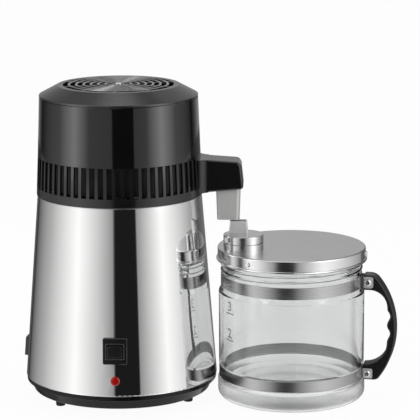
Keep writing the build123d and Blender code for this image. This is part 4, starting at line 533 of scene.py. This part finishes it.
def tick(height):
    """A raised bar across the wall, as a bmesh that lies on it."""
    bm = bmesh.new()
    bmesh.ops.create_cube(bm, size=1)
    bmesh.ops.scale(bm, vec=(TICK_LENGTH, TICK_WIDTH, MARK_RISE), verts=bm.verts[:])
    bmesh.ops.translate(bm, vec=(0, 0, MARK_RISE / 2), verts=bm.verts[:])
    along = [e for e in bm.edges if abs((e.verts[0].co - e.verts[1].co).x) > MM]
    bmesh.ops.subdivide_edges(bm, edges=along, cuts=TICK_CUTS, use_grid_fill=True)
    proud = [e for e in bm.edges if all(v.co.z > MARK_RISE / 2 for v in e.verts) and e.calc_face_angle(0) > SHARP_TURN]
    bmesh.ops.bevel(bm, geom=proud, offset=MARK_RISE / 3, affect="EDGES", segments=3, profile=0.5, material=-1)
    bent_round(bm, MARK_AZIMUTH, height)
    return bm


for text, height in MARK_HEIGHTS.items():
    finished("mark_" + text, numeral(text, height), "jug", "clear_glass", MARK_SHARP, "frosted_glass")
    finished("tick_" + text, tick(height - TICK_DROP), "jug", "clear_glass", MARK_SHARP, "frosted_glass")

# %% [markdown]
# ## Handle screws
# Two pan-head screws with a cross recess clamp the handle's ends in the ears of the bands. The head is spun, and its
# flat top is bridged to a small grid, from which the cross is sunk. Each screw is laid where the CAD screw is: the
# node's points are measured along the screws' own line, which crosses the handle.

# %% Shape a screw
HEAD_RADIUS, HEAD_RISE, HEAD_FLAT, SHANK_RADIUS = 4.2 * MM, 2.4 * MM, 2.6 * MM, 2.0 * MM
HEAD_EDGE, HEAD_ROUND, SCREW_STEPS = 0.45 * HEAD_RISE, 1.4 * MM, 48
CROSS_REACH, CROSS_ARM, CROSS_SINK, CROSS_INNER = 1.9 * MM, 0.42 * MM, 1.3 * MM, 0.9


def points_of(made):
    """The points among what an operator made."""
    return [part for part in made["geom"] if isinstance(part, bmesh.types.BMVert)]


def to_arm(place):
    """Move an inner line of the cross's grid to the side of an arm, and leave an outer line."""
    return math.copysign(CROSS_ARM, place) if abs(place) < CROSS_INNER * CROSS_REACH else place


def pan_screw(length):
    """A screw that points down from its head, whose top is at the origin."""
    bm = bmesh.new()
    rounded_line(bm, [(HEAD_FLAT, 0, 0), (HEAD_RADIUS, -HEAD_EDGE, HEAD_ROUND), (HEAD_RADIUS, -HEAD_RISE, 0),
                      (SHANK_RADIUS, -HEAD_RISE, 0), (SHANK_RADIUS, -length, 0), (0, -length, 0)])
    spun(bm, SCREW_STEPS)
    rim = [e for e in bm.edges if e.is_boundary]
    cross = bmesh.ops.create_grid(bm, x_segments=3, y_segments=3, size=CROSS_REACH)["verts"]
    for point in cross:
        point.co.x, point.co.y = to_arm(point.co.x), to_arm(point.co.y)
    square = [e for e in bm.edges if e.is_boundary and e not in rim]
    bmesh.ops.bridge_loops(bm, edges=rim + square)
    middles = [(f, f.calc_center_median()) for f in bm.faces if all(v in cross for v in f.verts)]
    arms = [f for f, m in middles if min(abs(m.x), abs(m.y)) < CROSS_ARM / 2]
    sunk = points_of(bmesh.ops.extrude_face_region(bm, geom=arms))
    bmesh.ops.delete(bm, geom=arms, context="FACES")
    bmesh.ops.translate(bm, vec=(0, 0, -CROSS_SINK), verts=sunk)
    bmesh.ops.recalc_face_normals(bm, faces=bm.faces[:])
    return bm


print("screw head", round(2 * HEAD_RADIUS / MM, 1), "mm across")

# %% Lay the screws
SCREW_TURN, SCREW_SHARP = math.radians(25), 30
handle_side = middle("jug_handle") - jug_axis
handle_out = Vector((handle_side.x, handle_side.y, 0)).normalized()
handle_across = UP.cross(handle_out)
points = [v.co.copy() for v in nodes["handle_screws"].data.vertices]
half_way = middle("handle_screws").z
screws = bmesh.new()
for group in ([p for p in points if p.z > half_way], [p for p in points if p.z < half_way]):
    lows, highs = zip(*[(min(p.dot(d) for p in group), max(p.dot(d) for p in group))
                        for d in (handle_out, handle_across, UP)])
    top = handle_out * (lows[0] + highs[0]) / 2 + handle_across * lows[1] + UP * (lows[2] + highs[2]) / 2
    one = pan_screw(highs[1] - lows[1])
    turn = (-handle_across).to_track_quat("Z", "Y").to_matrix().to_4x4() @ Matrix.Rotation(SCREW_TURN, 4, "Z")
    bmesh.ops.transform(one, matrix=Matrix.Translation(top) @ turn, verts=one.verts[:])
    mesh = bpy.data.meshes.new("one_screw")
    one.to_mesh(mesh)
    one.free()
    screws.from_mesh(mesh)
    bpy.data.meshes.remove(mesh)
    print("screw length", round(highs[1] - lows[1], 4), "head at", tuple(round(v, 4) for v in top))
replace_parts(finished("pan_screws", screws, "jug", "fastener_steel", SCREW_SHARP), "handle_screws")

# %% [markdown]
# ## Charcoal sachet
# In the filter cup lies a round pouch of charcoal: two discs of cloth, welded together at the rim, swollen by the
# grains. It is flat only where it rests on the cup's floor. A cloth simulation would find much the same shape, but the
# pouch is as wide as a coin and lies hidden, so its line is spun, and its points are then moved: puckers that run in
# from the weld, and the lumps of the grains, from a noise that is the same on each run.

# %% Spin the sachet
SACHET_PLAY, SACHET_STEPS, SACHET_MERGE, LONG_EDGE, LONG_CUTS = 0.2, 88, 1e-3, 1.5, 5
REST_REACH, REST_ROUND, REST_GAP = 0.68, 4.0, 0.05
WELD_START, WELD_ROUND, WELD_HALF, WELD_DROP = 0.9, 1.2, 0.25, 0.4
CROWN_REACH, CROWN_ROUND, CROWN_SIDE, CROWN_TOP = 0.6, 6.0, 0.8, 0.6
low, high = (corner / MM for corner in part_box("charcoal_sachet"))
reach, seam = (high.x - low.x) / 2 - SACHET_PLAY, (low.z + high.z) / 2 - WELD_DROP
bm = bmesh.new()
rounded_line(bm, [
    (0, low.z + REST_GAP, 0), (REST_REACH * reach, low.z + REST_GAP, REST_ROUND),
    (WELD_START * reach, seam - WELD_HALF, WELD_ROUND), (reach, seam - WELD_HALF, 0),
    (reach, seam + WELD_HALF, 0), (WELD_START * reach, seam + WELD_HALF, WELD_ROUND),
    (CROWN_REACH * reach, high.z - CROWN_SIDE, CROWN_ROUND), (0, high.z - CROWN_TOP, 0),
])
bmesh.ops.subdivide_edges(bm, edges=[e for e in bm.edges if e.calc_length() > LONG_EDGE], cuts=LONG_CUTS)
spun(bm, SACHET_STEPS, SACHET_MERGE)
print("sachet", round(2 * reach, 1), "mm across")

# %% Pucker and fill it
PUCKERS, PUCKER_DEPTH, PUCKER_START, GRAIN_LUMP, GRAIN_SIZE, FLAT_BELOW = 22, 0.32, 0.45, 0.35, 2.4, 0.3
SACHET_SHARP = 60
for point in bm.verts:
    if point.co.z > low.z + FLAT_BELOW:
        out = point.co.xy.length / reach
        side = 1 if point.co.z > seam else -1
        pull = math.sin(math.pi * min(1, max(0, (out - PUCKER_START) / (1 - PUCKER_START))))
        pucker = PUCKER_DEPTH * pull * math.cos(PUCKERS * math.atan2(point.co.y, point.co.x))
        lump = GRAIN_LUMP * (1 - out) * noise.noise(point.co / GRAIN_SIZE)
        point.co.z += side * (pucker + lump)
carried(bm, middle("charcoal_sachet"), MM)
sachet = finished("sachet_pouch", bm, "lid", "charcoal_cloth", SACHET_SHARP)
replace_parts(sachet, "charcoal_sachet")

# %% [markdown]
# ## Lip of the switch
# A fine rounded lip runs round the raised collar of the switch. Its grey is many times lighter than the switch's black,
# as a painted highlight that shows as a thin frame. A flat plate is inset to a frame, raised and rounded, and then laid
# on the collar, whose face leans back with the steel wall. The lean and the place are measured on the bezel's own
# foremost points.

# %% Measure the switch's collar
FACES_FRONT, COLLAR_DEPTH = -0.98, 0.05 * MM
bezel = nodes["switch_bezel"].data
lean = Vector((0, 0, 0))
for face in bezel.polygons:
    if face.normal.y < FACES_FRONT:
        lean += face.normal * face.area
lean.normalize()
front = max(v.co.dot(lean) for v in bezel.vertices)
sideways = UP.cross(lean).normalized()
upwards = lean.cross(sideways)
collar = [v.co for v in bezel.vertices if v.co.dot(lean) > front - COLLAR_DEPTH]
across = [p.dot(sideways) for p in collar]
along = [p.dot(upwards) for p in collar]
print("collar", [round((max(s) - min(s)) / MM, 1) for s in (across, along)], "lean", tuple(round(v, 3) for v in lean))

# %% Make the switch lip
LIP_WIDTH, LIP_RISE, LIP_ROUND, LIP_CORNER = 0.9 * MM, 0.5 * MM, 0.22 * MM, 1.2 * MM
bm = bmesh.new()
bmesh.ops.create_grid(bm, x_segments=1, y_segments=1, size=0.5)
bmesh.ops.scale(bm, vec=(max(across) - min(across), max(along) - min(along), 1), verts=bm.verts[:])
bmesh.ops.bevel(bm, geom=bm.verts[:], offset=LIP_CORNER, affect="VERTICES", segments=4, profile=0.5, material=-1)
plate = bm.faces[:]
bmesh.ops.inset_region(bm, faces=plate, thickness=LIP_WIDTH, use_boundary=True, use_even_offset=True)
bmesh.ops.delete(bm, geom=plate, context="FACES")
raised = points_of(bmesh.ops.extrude_face_region(bm, geom=bm.faces[:]))
bmesh.ops.translate(bm, vec=(0, 0, LIP_RISE), verts=raised)
bmesh.ops.recalc_face_normals(bm, faces=bm.faces[:])
edges = [e for e in bm.edges if all(v in raised for v in e.verts) and e.calc_face_angle(0) > SHARP_TURN]
bmesh.ops.bevel(bm, geom=edges, offset=LIP_ROUND, affect="EDGES", segments=3, profile=0.5, material=-1)
place = sideways * (max(across) + min(across)) / 2 + upwards * (max(along) + min(along)) / 2 + lean * front
turn = Matrix((sideways, upwards, lean)).transposed().to_4x4()
bmesh.ops.transform(bm, matrix=Matrix.Translation(place) @ turn, verts=bm.verts[:])
# Painted highlight: the lip's grey is many times lighter than the switch's black.
finishes["lip_highlight_grey"] = moulded("lip_highlight_grey", even(0.05), even(0.07), (0.12, 0.2), 0.0006, 1e-5, 1.7)
finished("switch_lip", bm, "base", "switch_black", finish="lip_highlight_grey")

# %% [markdown]
# ## Air guide, a sheet of painted shade
# Behind the slots stands a thin sleeve, near black and dull, as painted shade: it stands where the inside of the
# head is in shade, and it is why nothing shows through the slots. It also turns the fan's air down over the coil,
# under its lower edge and out by the slots. It is spun as a thin line, given its wall by solidify, and cut away on the
# side where the coil's end runs out into the spout. It hangs in the ring's spigot, whose inner radius is measured.

# %% Make the air guide, a sheet of painted shade
GUIDE_LOW, GUIDE_RADIUS, GUIDE_WALL, GUIDE_FIT, GUIDE_STEPS = 259.5 * MM, 89.4 * MM, 0.8 * MM, 0.15 * MM, 96
NOTCH_TOP, NOTCH_TURN = 283 * MM, math.radians(9.5)
FLARE_LOW, FLARE_HIGH, FLARE_ROUND, GUIDE_DROP, SPIGOT_DEPTH = 12 * MM, 6 * MM, 3 * MM, 1 * MM, 2 * MM
ring_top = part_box("vent_ring")[1].z
spigot = min((v.co.xy - body_axis.xy).length for v in nodes["vent_ring"].data.vertices
             if v.co.z > ring_top - SPIGOT_DEPTH)
bm = bmesh.new()
rounded_line(bm, [
    (GUIDE_RADIUS, GUIDE_LOW, 0), (GUIDE_RADIUS, NOTCH_TOP, 0), (GUIDE_RADIUS, ring_top - FLARE_LOW, FLARE_ROUND),
    (spigot - GUIDE_FIT, ring_top - FLARE_HIGH, FLARE_ROUND), (spigot - GUIDE_FIT, ring_top - GUIDE_DROP, 0),
])
spun(bm, GUIDE_STEPS)
middles = [(f, f.calc_center_median()) for f in bm.faces]
notch = [f for f, m in middles if m.z < NOTCH_TOP and abs(math.atan2(m.y, m.x)) < NOTCH_TURN]
bmesh.ops.delete(bm, geom=notch, context="FACES")
bmesh.ops.solidify(bm, geom=bm.faces[:], thickness=GUIDE_WALL)
bmesh.ops.recalc_face_normals(bm, faces=bm.faces[:])
carried(bm, body_axis)
# Painted shade: a near-black, dull finish, darker than the other blacks, so the slots show only shade.
finishes["guide_shade_black"] = moulded("guide_shade_black", even(0.002), even(0.004), (0.6, 0.7), 0.001, 2e-5)
finished("shade_air_guide", bm, "head", "fan_black", finish="guide_shade_black")
print("spigot", round(spigot / MM, 2), "mm inside")

# %% [markdown]
# ## Beads of the fan guard and the skirt
# The guard's rings are not flat: each carries a round bead. The beads have a pale, part-metal finish, far lighter than
# the guard's dark grey, as a painted highlight to the left and right. The skirt's lower edge is rolled into a fine bead
# too, which shows as a thin bright line above the pan. A bead is a small circle spun round the body's axis, half sunk
# in what carries it. The rings' radii follow from the guard's pitch, counted inwards from its outermost bar, and the
# skirt's is measured.

# %% Lay the beads of the guard
BEAD_RADIUS, BEAD_SINK, BEAD_SIDES, BEAD_STEPS = 1.3 * MM, 0.3 * MM, 10, 96
BEAD_OUTER, BEAD_PITCH, BEADS = 58.4 * MM, 8.6 * MM, 6


def bead(bm, radius, height, size, steps):
    """Spin a small circle round Z at a radius and a height."""
    ring = bmesh.ops.create_circle(bm, segments=BEAD_SIDES, radius=size)["verts"]
    bmesh.ops.rotate(bm, cent=(0, 0, 0), matrix=Matrix.Rotation(math.pi / 2, 3, "X"), verts=ring)
    bmesh.ops.translate(bm, vec=(radius, 0, height), verts=ring)
    edges = [e for e in bm.edges if all(v in ring for v in e.verts)]
    bmesh.ops.spin(bm, geom=ring + edges, cent=(0, 0, 0), axis=(0, 0, 1), angle=2 * math.pi, steps=steps,
                   use_merge=True)


guard_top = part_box("top_grille")[1].z
bm = bmesh.new()
for i in range(BEADS):
    bead(bm, BEAD_OUTER - i * BEAD_PITCH, guard_top - BEAD_SINK, BEAD_RADIUS, BEAD_STEPS)
closed(bm)
carried(bm, body_axis)
# Painted highlight: the beads get a pale, part-metal finish, far lighter than the guard's dark grey plastic.
finishes["bead_highlight_grey"] = metal("bead_highlight_grey", even(0.36), even(0.44), (0.16, 0.24), even(0.002), 1e-5, metallic=0.8)
finished("guard_beads", bm, "head", "top_grey", finish="bead_highlight_grey")

# %% Lay the bead of the skirt
EDGE_BEAD, EDGE_INSET, EDGE_STEPS = 0.45 * MM, 0.002 * MM, 360
edge_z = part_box("outer_shell")[0].z
edge_reach = max((v.co.xy - body_axis.xy).length for v in nodes["outer_shell"].data.vertices if v.co.z < edge_z + MM)
bm = bmesh.new()
bead(bm, edge_reach - EDGE_INSET - EDGE_BEAD, edge_z, EDGE_BEAD, EDGE_STEPS)
closed(bm)
carried(bm, body_axis)
finished("skirt_bead", bm, "base", "polished_steel")
print("skirt's edge", round(edge_reach / MM, 2), "mm at", round(edge_z / MM, 2), "mm")

# %% [markdown]
# ## Light tent, floor and lamps
# Polished steel shows the room, so the room matters more than the lamps. The object stands in a light tent with a slot
# for the camera: a soft panel to each side, bright in its middle and falling off to its edges, with the dark slot
# between them. The stops below give each panel's edges and middle as an angle round the tent and a light, one row for
# the back on the left, the left panel, the slot, the right panel and the back on the right. Up where the dome looks,
# the panels are narrower and brighter, and the roof is bright only over the middle. The tent is seen by glossy rays
# only, and rays that have been through glass find plain white there, as clear glass in a tent does. The lamps and the
# world light everything else at a plain level. The floor and the world are white to the camera, and the floor keeps a
# soft shadow.

# %% Set the tent's light
TENT_MIDDLE, TENT_RADIUS, TENT_LOW, TENT_HIGH = Vector((0.045, 0, 0)), 0.62, -0.4, 1.3
LOW_LIGHT = [
    (-180, 0.2), (-130, 0.09), (-126, 0.02),
    (-122, 0.12), (-93, 0.48), (-58, 1.18), (-19.4, 0.32),
    (-17.8, 0.012), (9.9, 0.012),
    (10.6, 0.31), (50, 1.15), (112, 0.44), (124, 0.38),
    (126, 0.03), (135, 0.1), (180, 0.2),
]
HIGH_LIGHT = [
    (-180, 0.5), (-155, 0.45), (-126, 0.03),
    (-115, 0.12), (-80, 0.6), (-55.5, 2.25), (-35, 0.5), (-5.6, 0.42),
    (-4.9, 0.002), (22.8, 0.002),
    (23.8, 0.42), (40, 0.52), (62.5, 2.5), (86, 0.66), (115, 0.2),
    (124, 0.01), (147, 0.45), (180, 0.5),
]
ROOF_REACH, ROOF_LIGHT = (0.25, 0.5), (1.5, 0.05)
PANEL_TURN, PANEL_TILT, THROUGH_GLASS = (0.2295, 0.2355), 0.05, 0.92


def tent_ramp(tree, place, axis_x, lights):
    """Light of the cloth by the angle in degrees round an upright axis, from the slot to the right."""
    aside = math_node(tree, "SUBTRACT", place["X"], axis_x)
    angle = math_node(tree, "ARCTAN2", aside, math_node(tree, "MULTIPLY", place["Y"], -1))
    turn = math_node(tree, "ADD", math_node(tree, "DIVIDE", angle, 2 * math.pi), 0.5)
    ramp = tree.nodes.new("ShaderNodeValToRGB")
    for degrees, light in lights[1:-1]:
        ramp.color_ramp.elements.new(degrees / 360 + 0.5).color = (*even(light), 1)
    for end in (0, -1):
        ramp.color_ramp.elements[end].color = (*even(lights[end][1]), 1)
    tree.links.new(turn, ramp.inputs["Fac"])
    return ramp.outputs["Color"]


def mixed(tree, share, first, second):
    """Colour that goes from the first to the second, a socket or a grey, as the share goes from 0 to 1."""
    both = tree.nodes.new("ShaderNodeMix")
    both.data_type = "RGBA"
    tree.links.new(share, both.inputs["Factor"])
    for value, socket in ((first, both.inputs[6]), (second, both.inputs[7])):
        if isinstance(value, bpy.types.NodeSocket):
            tree.links.new(value, socket)
        else:
            socket.default_value = (*even(value), 1)
    return both.outputs[2]


def wall_light(tree):
    """Light of the tent's wall: the low panels, and above them the high ones."""
    place = parted(tree, object_place(tree))
    to_right = math_node(tree, "MAXIMUM", math_node(tree, "SUBTRACT", place["X"], TENT_MIDDLE.x), 0)
    level = math_node(tree, "ADD", place["Z"], math_node(tree, "MULTIPLY", to_right, PANEL_TILT))
    return mixed(tree, ranged(tree, level, PANEL_TURN, (0, 1)), tent_ramp(tree, place, TENT_MIDDLE.x, LOW_LIGHT),
                 tent_ramp(tree, place, body_axis.x, HIGH_LIGHT))


def roof_light(tree):
    """Light of the tent's roof by the distance from the body's axis."""
    return ranged(tree, parted(tree, turned_place(tree, body_axis))["X"], ROOF_REACH, ROOF_LIGHT)


def cloth(name, light_of):
    """Glowing cloth that is plain white to rays that have been through glass."""
    material = bpy.data.materials.new(name)
    material.use_nodes = True
    tree = material.node_tree
    tree.nodes.remove(tree.nodes["Principled BSDF"])
    through = tree.nodes.new("ShaderNodeLightPath").outputs["Transmission Depth"]
    glow = tree.nodes.new("ShaderNodeEmission")
    tree.links.new(mixed(tree, through, light_of(tree), THROUGH_GLASS), glow.inputs["Color"])
    tree.links.new(glow.outputs[0], tree.nodes["Material Output"].inputs["Surface"])
    return material


print("stops of the low panels", len(LOW_LIGHT), "and of the high ones", len(HIGH_LIGHT))

# %% Hang the tent
TENT_SIDES = 96


def staged(name, bm, material):
    """A stage piece: seen around the object, but no part of it."""
    mesh = bpy.data.meshes.new(name)
    bm.to_mesh(mesh)
    bm.free()
    mesh.materials.append(material)
    piece = bpy.data.objects.new(name, mesh)
    bpy.context.scene.collection.objects.link(piece)
    return piece


bm = bmesh.new()
bmesh.ops.create_circle(bm, segments=TENT_SIDES, radius=TENT_RADIUS)
risen = points_of(bmesh.ops.extrude_edge_only(bm, edges=bm.edges[:]))
bmesh.ops.translate(bm, vec=(0, 0, TENT_HIGH - TENT_LOW), verts=risen)
bmesh.ops.translate(bm, vec=(TENT_MIDDLE.x, TENT_MIDDLE.y, TENT_LOW), verts=bm.verts[:])
tent = staged("light_tent", bm, cloth("tent_cloth", wall_light))
bm = bmesh.new()
bmesh.ops.create_circle(bm, cap_ends=True, segments=TENT_SIDES, radius=TENT_RADIUS)
bmesh.ops.translate(bm, vec=(TENT_MIDDLE.x, TENT_MIDDLE.y, TENT_HIGH), verts=bm.verts[:])
roof = staged("tent_roof", bm, cloth("roof_cloth", roof_light))
for sheet in (tent, roof):
    sheet.visible_camera = sheet.visible_diffuse = sheet.visible_transmission = sheet.visible_shadow = False
print("tent", TENT_RADIUS, "m round")

# %% Lay the floor
FLOOR_RADIUS, FLOOR_SIDES, FLOOR_SHADE, FLOOR_ROUGH, FLOOR_GLOW = 9.0, 64, 0.9, 0.8, 0.955


def seen_white(tree):
    """1 for rays that should find plain white: straight from the camera, or through glass or off metal."""
    rays = tree.nodes.new("ShaderNodeLightPath").outputs
    seen = math_node(tree, "MAXIMUM", rays["Is Camera Ray"], rays["Is Glossy Ray"])
    return math_node(tree, "MAXIMUM", seen, rays["Is Transmission Ray"])


paper, tree, shader = new_finish("floor_paper")
shader.inputs["Base Color"].default_value = (*even(FLOOR_SHADE), 1)
shader.inputs["Roughness"].default_value = FLOOR_ROUGH
glow = tree.nodes.new("ShaderNodeEmission")
mix = tree.nodes.new("ShaderNodeMixShader")
tree.links.new(math_node(tree, "MULTIPLY", seen_white(tree), FLOOR_GLOW), mix.inputs["Fac"])
tree.links.new(shader.outputs[0], mix.inputs[1])
tree.links.new(glow.outputs[0], mix.inputs[2])
tree.links.new(mix.outputs[0], tree.nodes["Material Output"].inputs["Surface"])
bm = bmesh.new()
bmesh.ops.create_circle(bm, cap_ends=True, segments=FLOOR_SIDES, radius=FLOOR_RADIUS)
floor = staged("floor", bm, paper)
floor.visible_glossy = False
print("floor", FLOOR_RADIUS, "m")

# %% Light it
WORLD_LIGHT, LAMP_SIZE, LAMP_AIM = 0.55, 0.9, Vector((0, 0, 0.15))
LAMPS = [
    # name, place in metres and power in watts
    ("left_box", (-1.3, -1.3, 1.3), 9.0),
    ("right_box", (1.5, -1.0, 1.2), 6.0),
    ("top_box", (0, 0.1, 1.8), 6.0),
]
world = bpy.data.worlds.new("studio")
world.use_nodes = True
bpy.context.scene.world = world
tree = world.node_tree
level = ranged(tree, seen_white(tree), (0, 1), (WORLD_LIGHT, 1.0))
tree.nodes["Background"].inputs["Color"].default_value = (1, 1, 1, 1)
tree.links.new(level, tree.nodes["Background"].inputs["Strength"])
for name, place, watts in LAMPS:
    light = bpy.data.lights.new(name, "AREA")
    light.shape, light.size, light.energy = "DISK", LAMP_SIZE, watts
    lamp = bpy.data.objects.new(name, light)
    aim = (LAMP_AIM - Vector(place)).to_track_quat("-Z", "Y")
    lamp.matrix_world = Matrix.Translation(place) @ aim.to_matrix().to_4x4()
    lamp.visible_glossy = False
    bpy.context.scene.collection.objects.link(lamp)
bpy.context.scene.view_settings.view_transform = "Standard"
print("lamps", len(LAMPS))
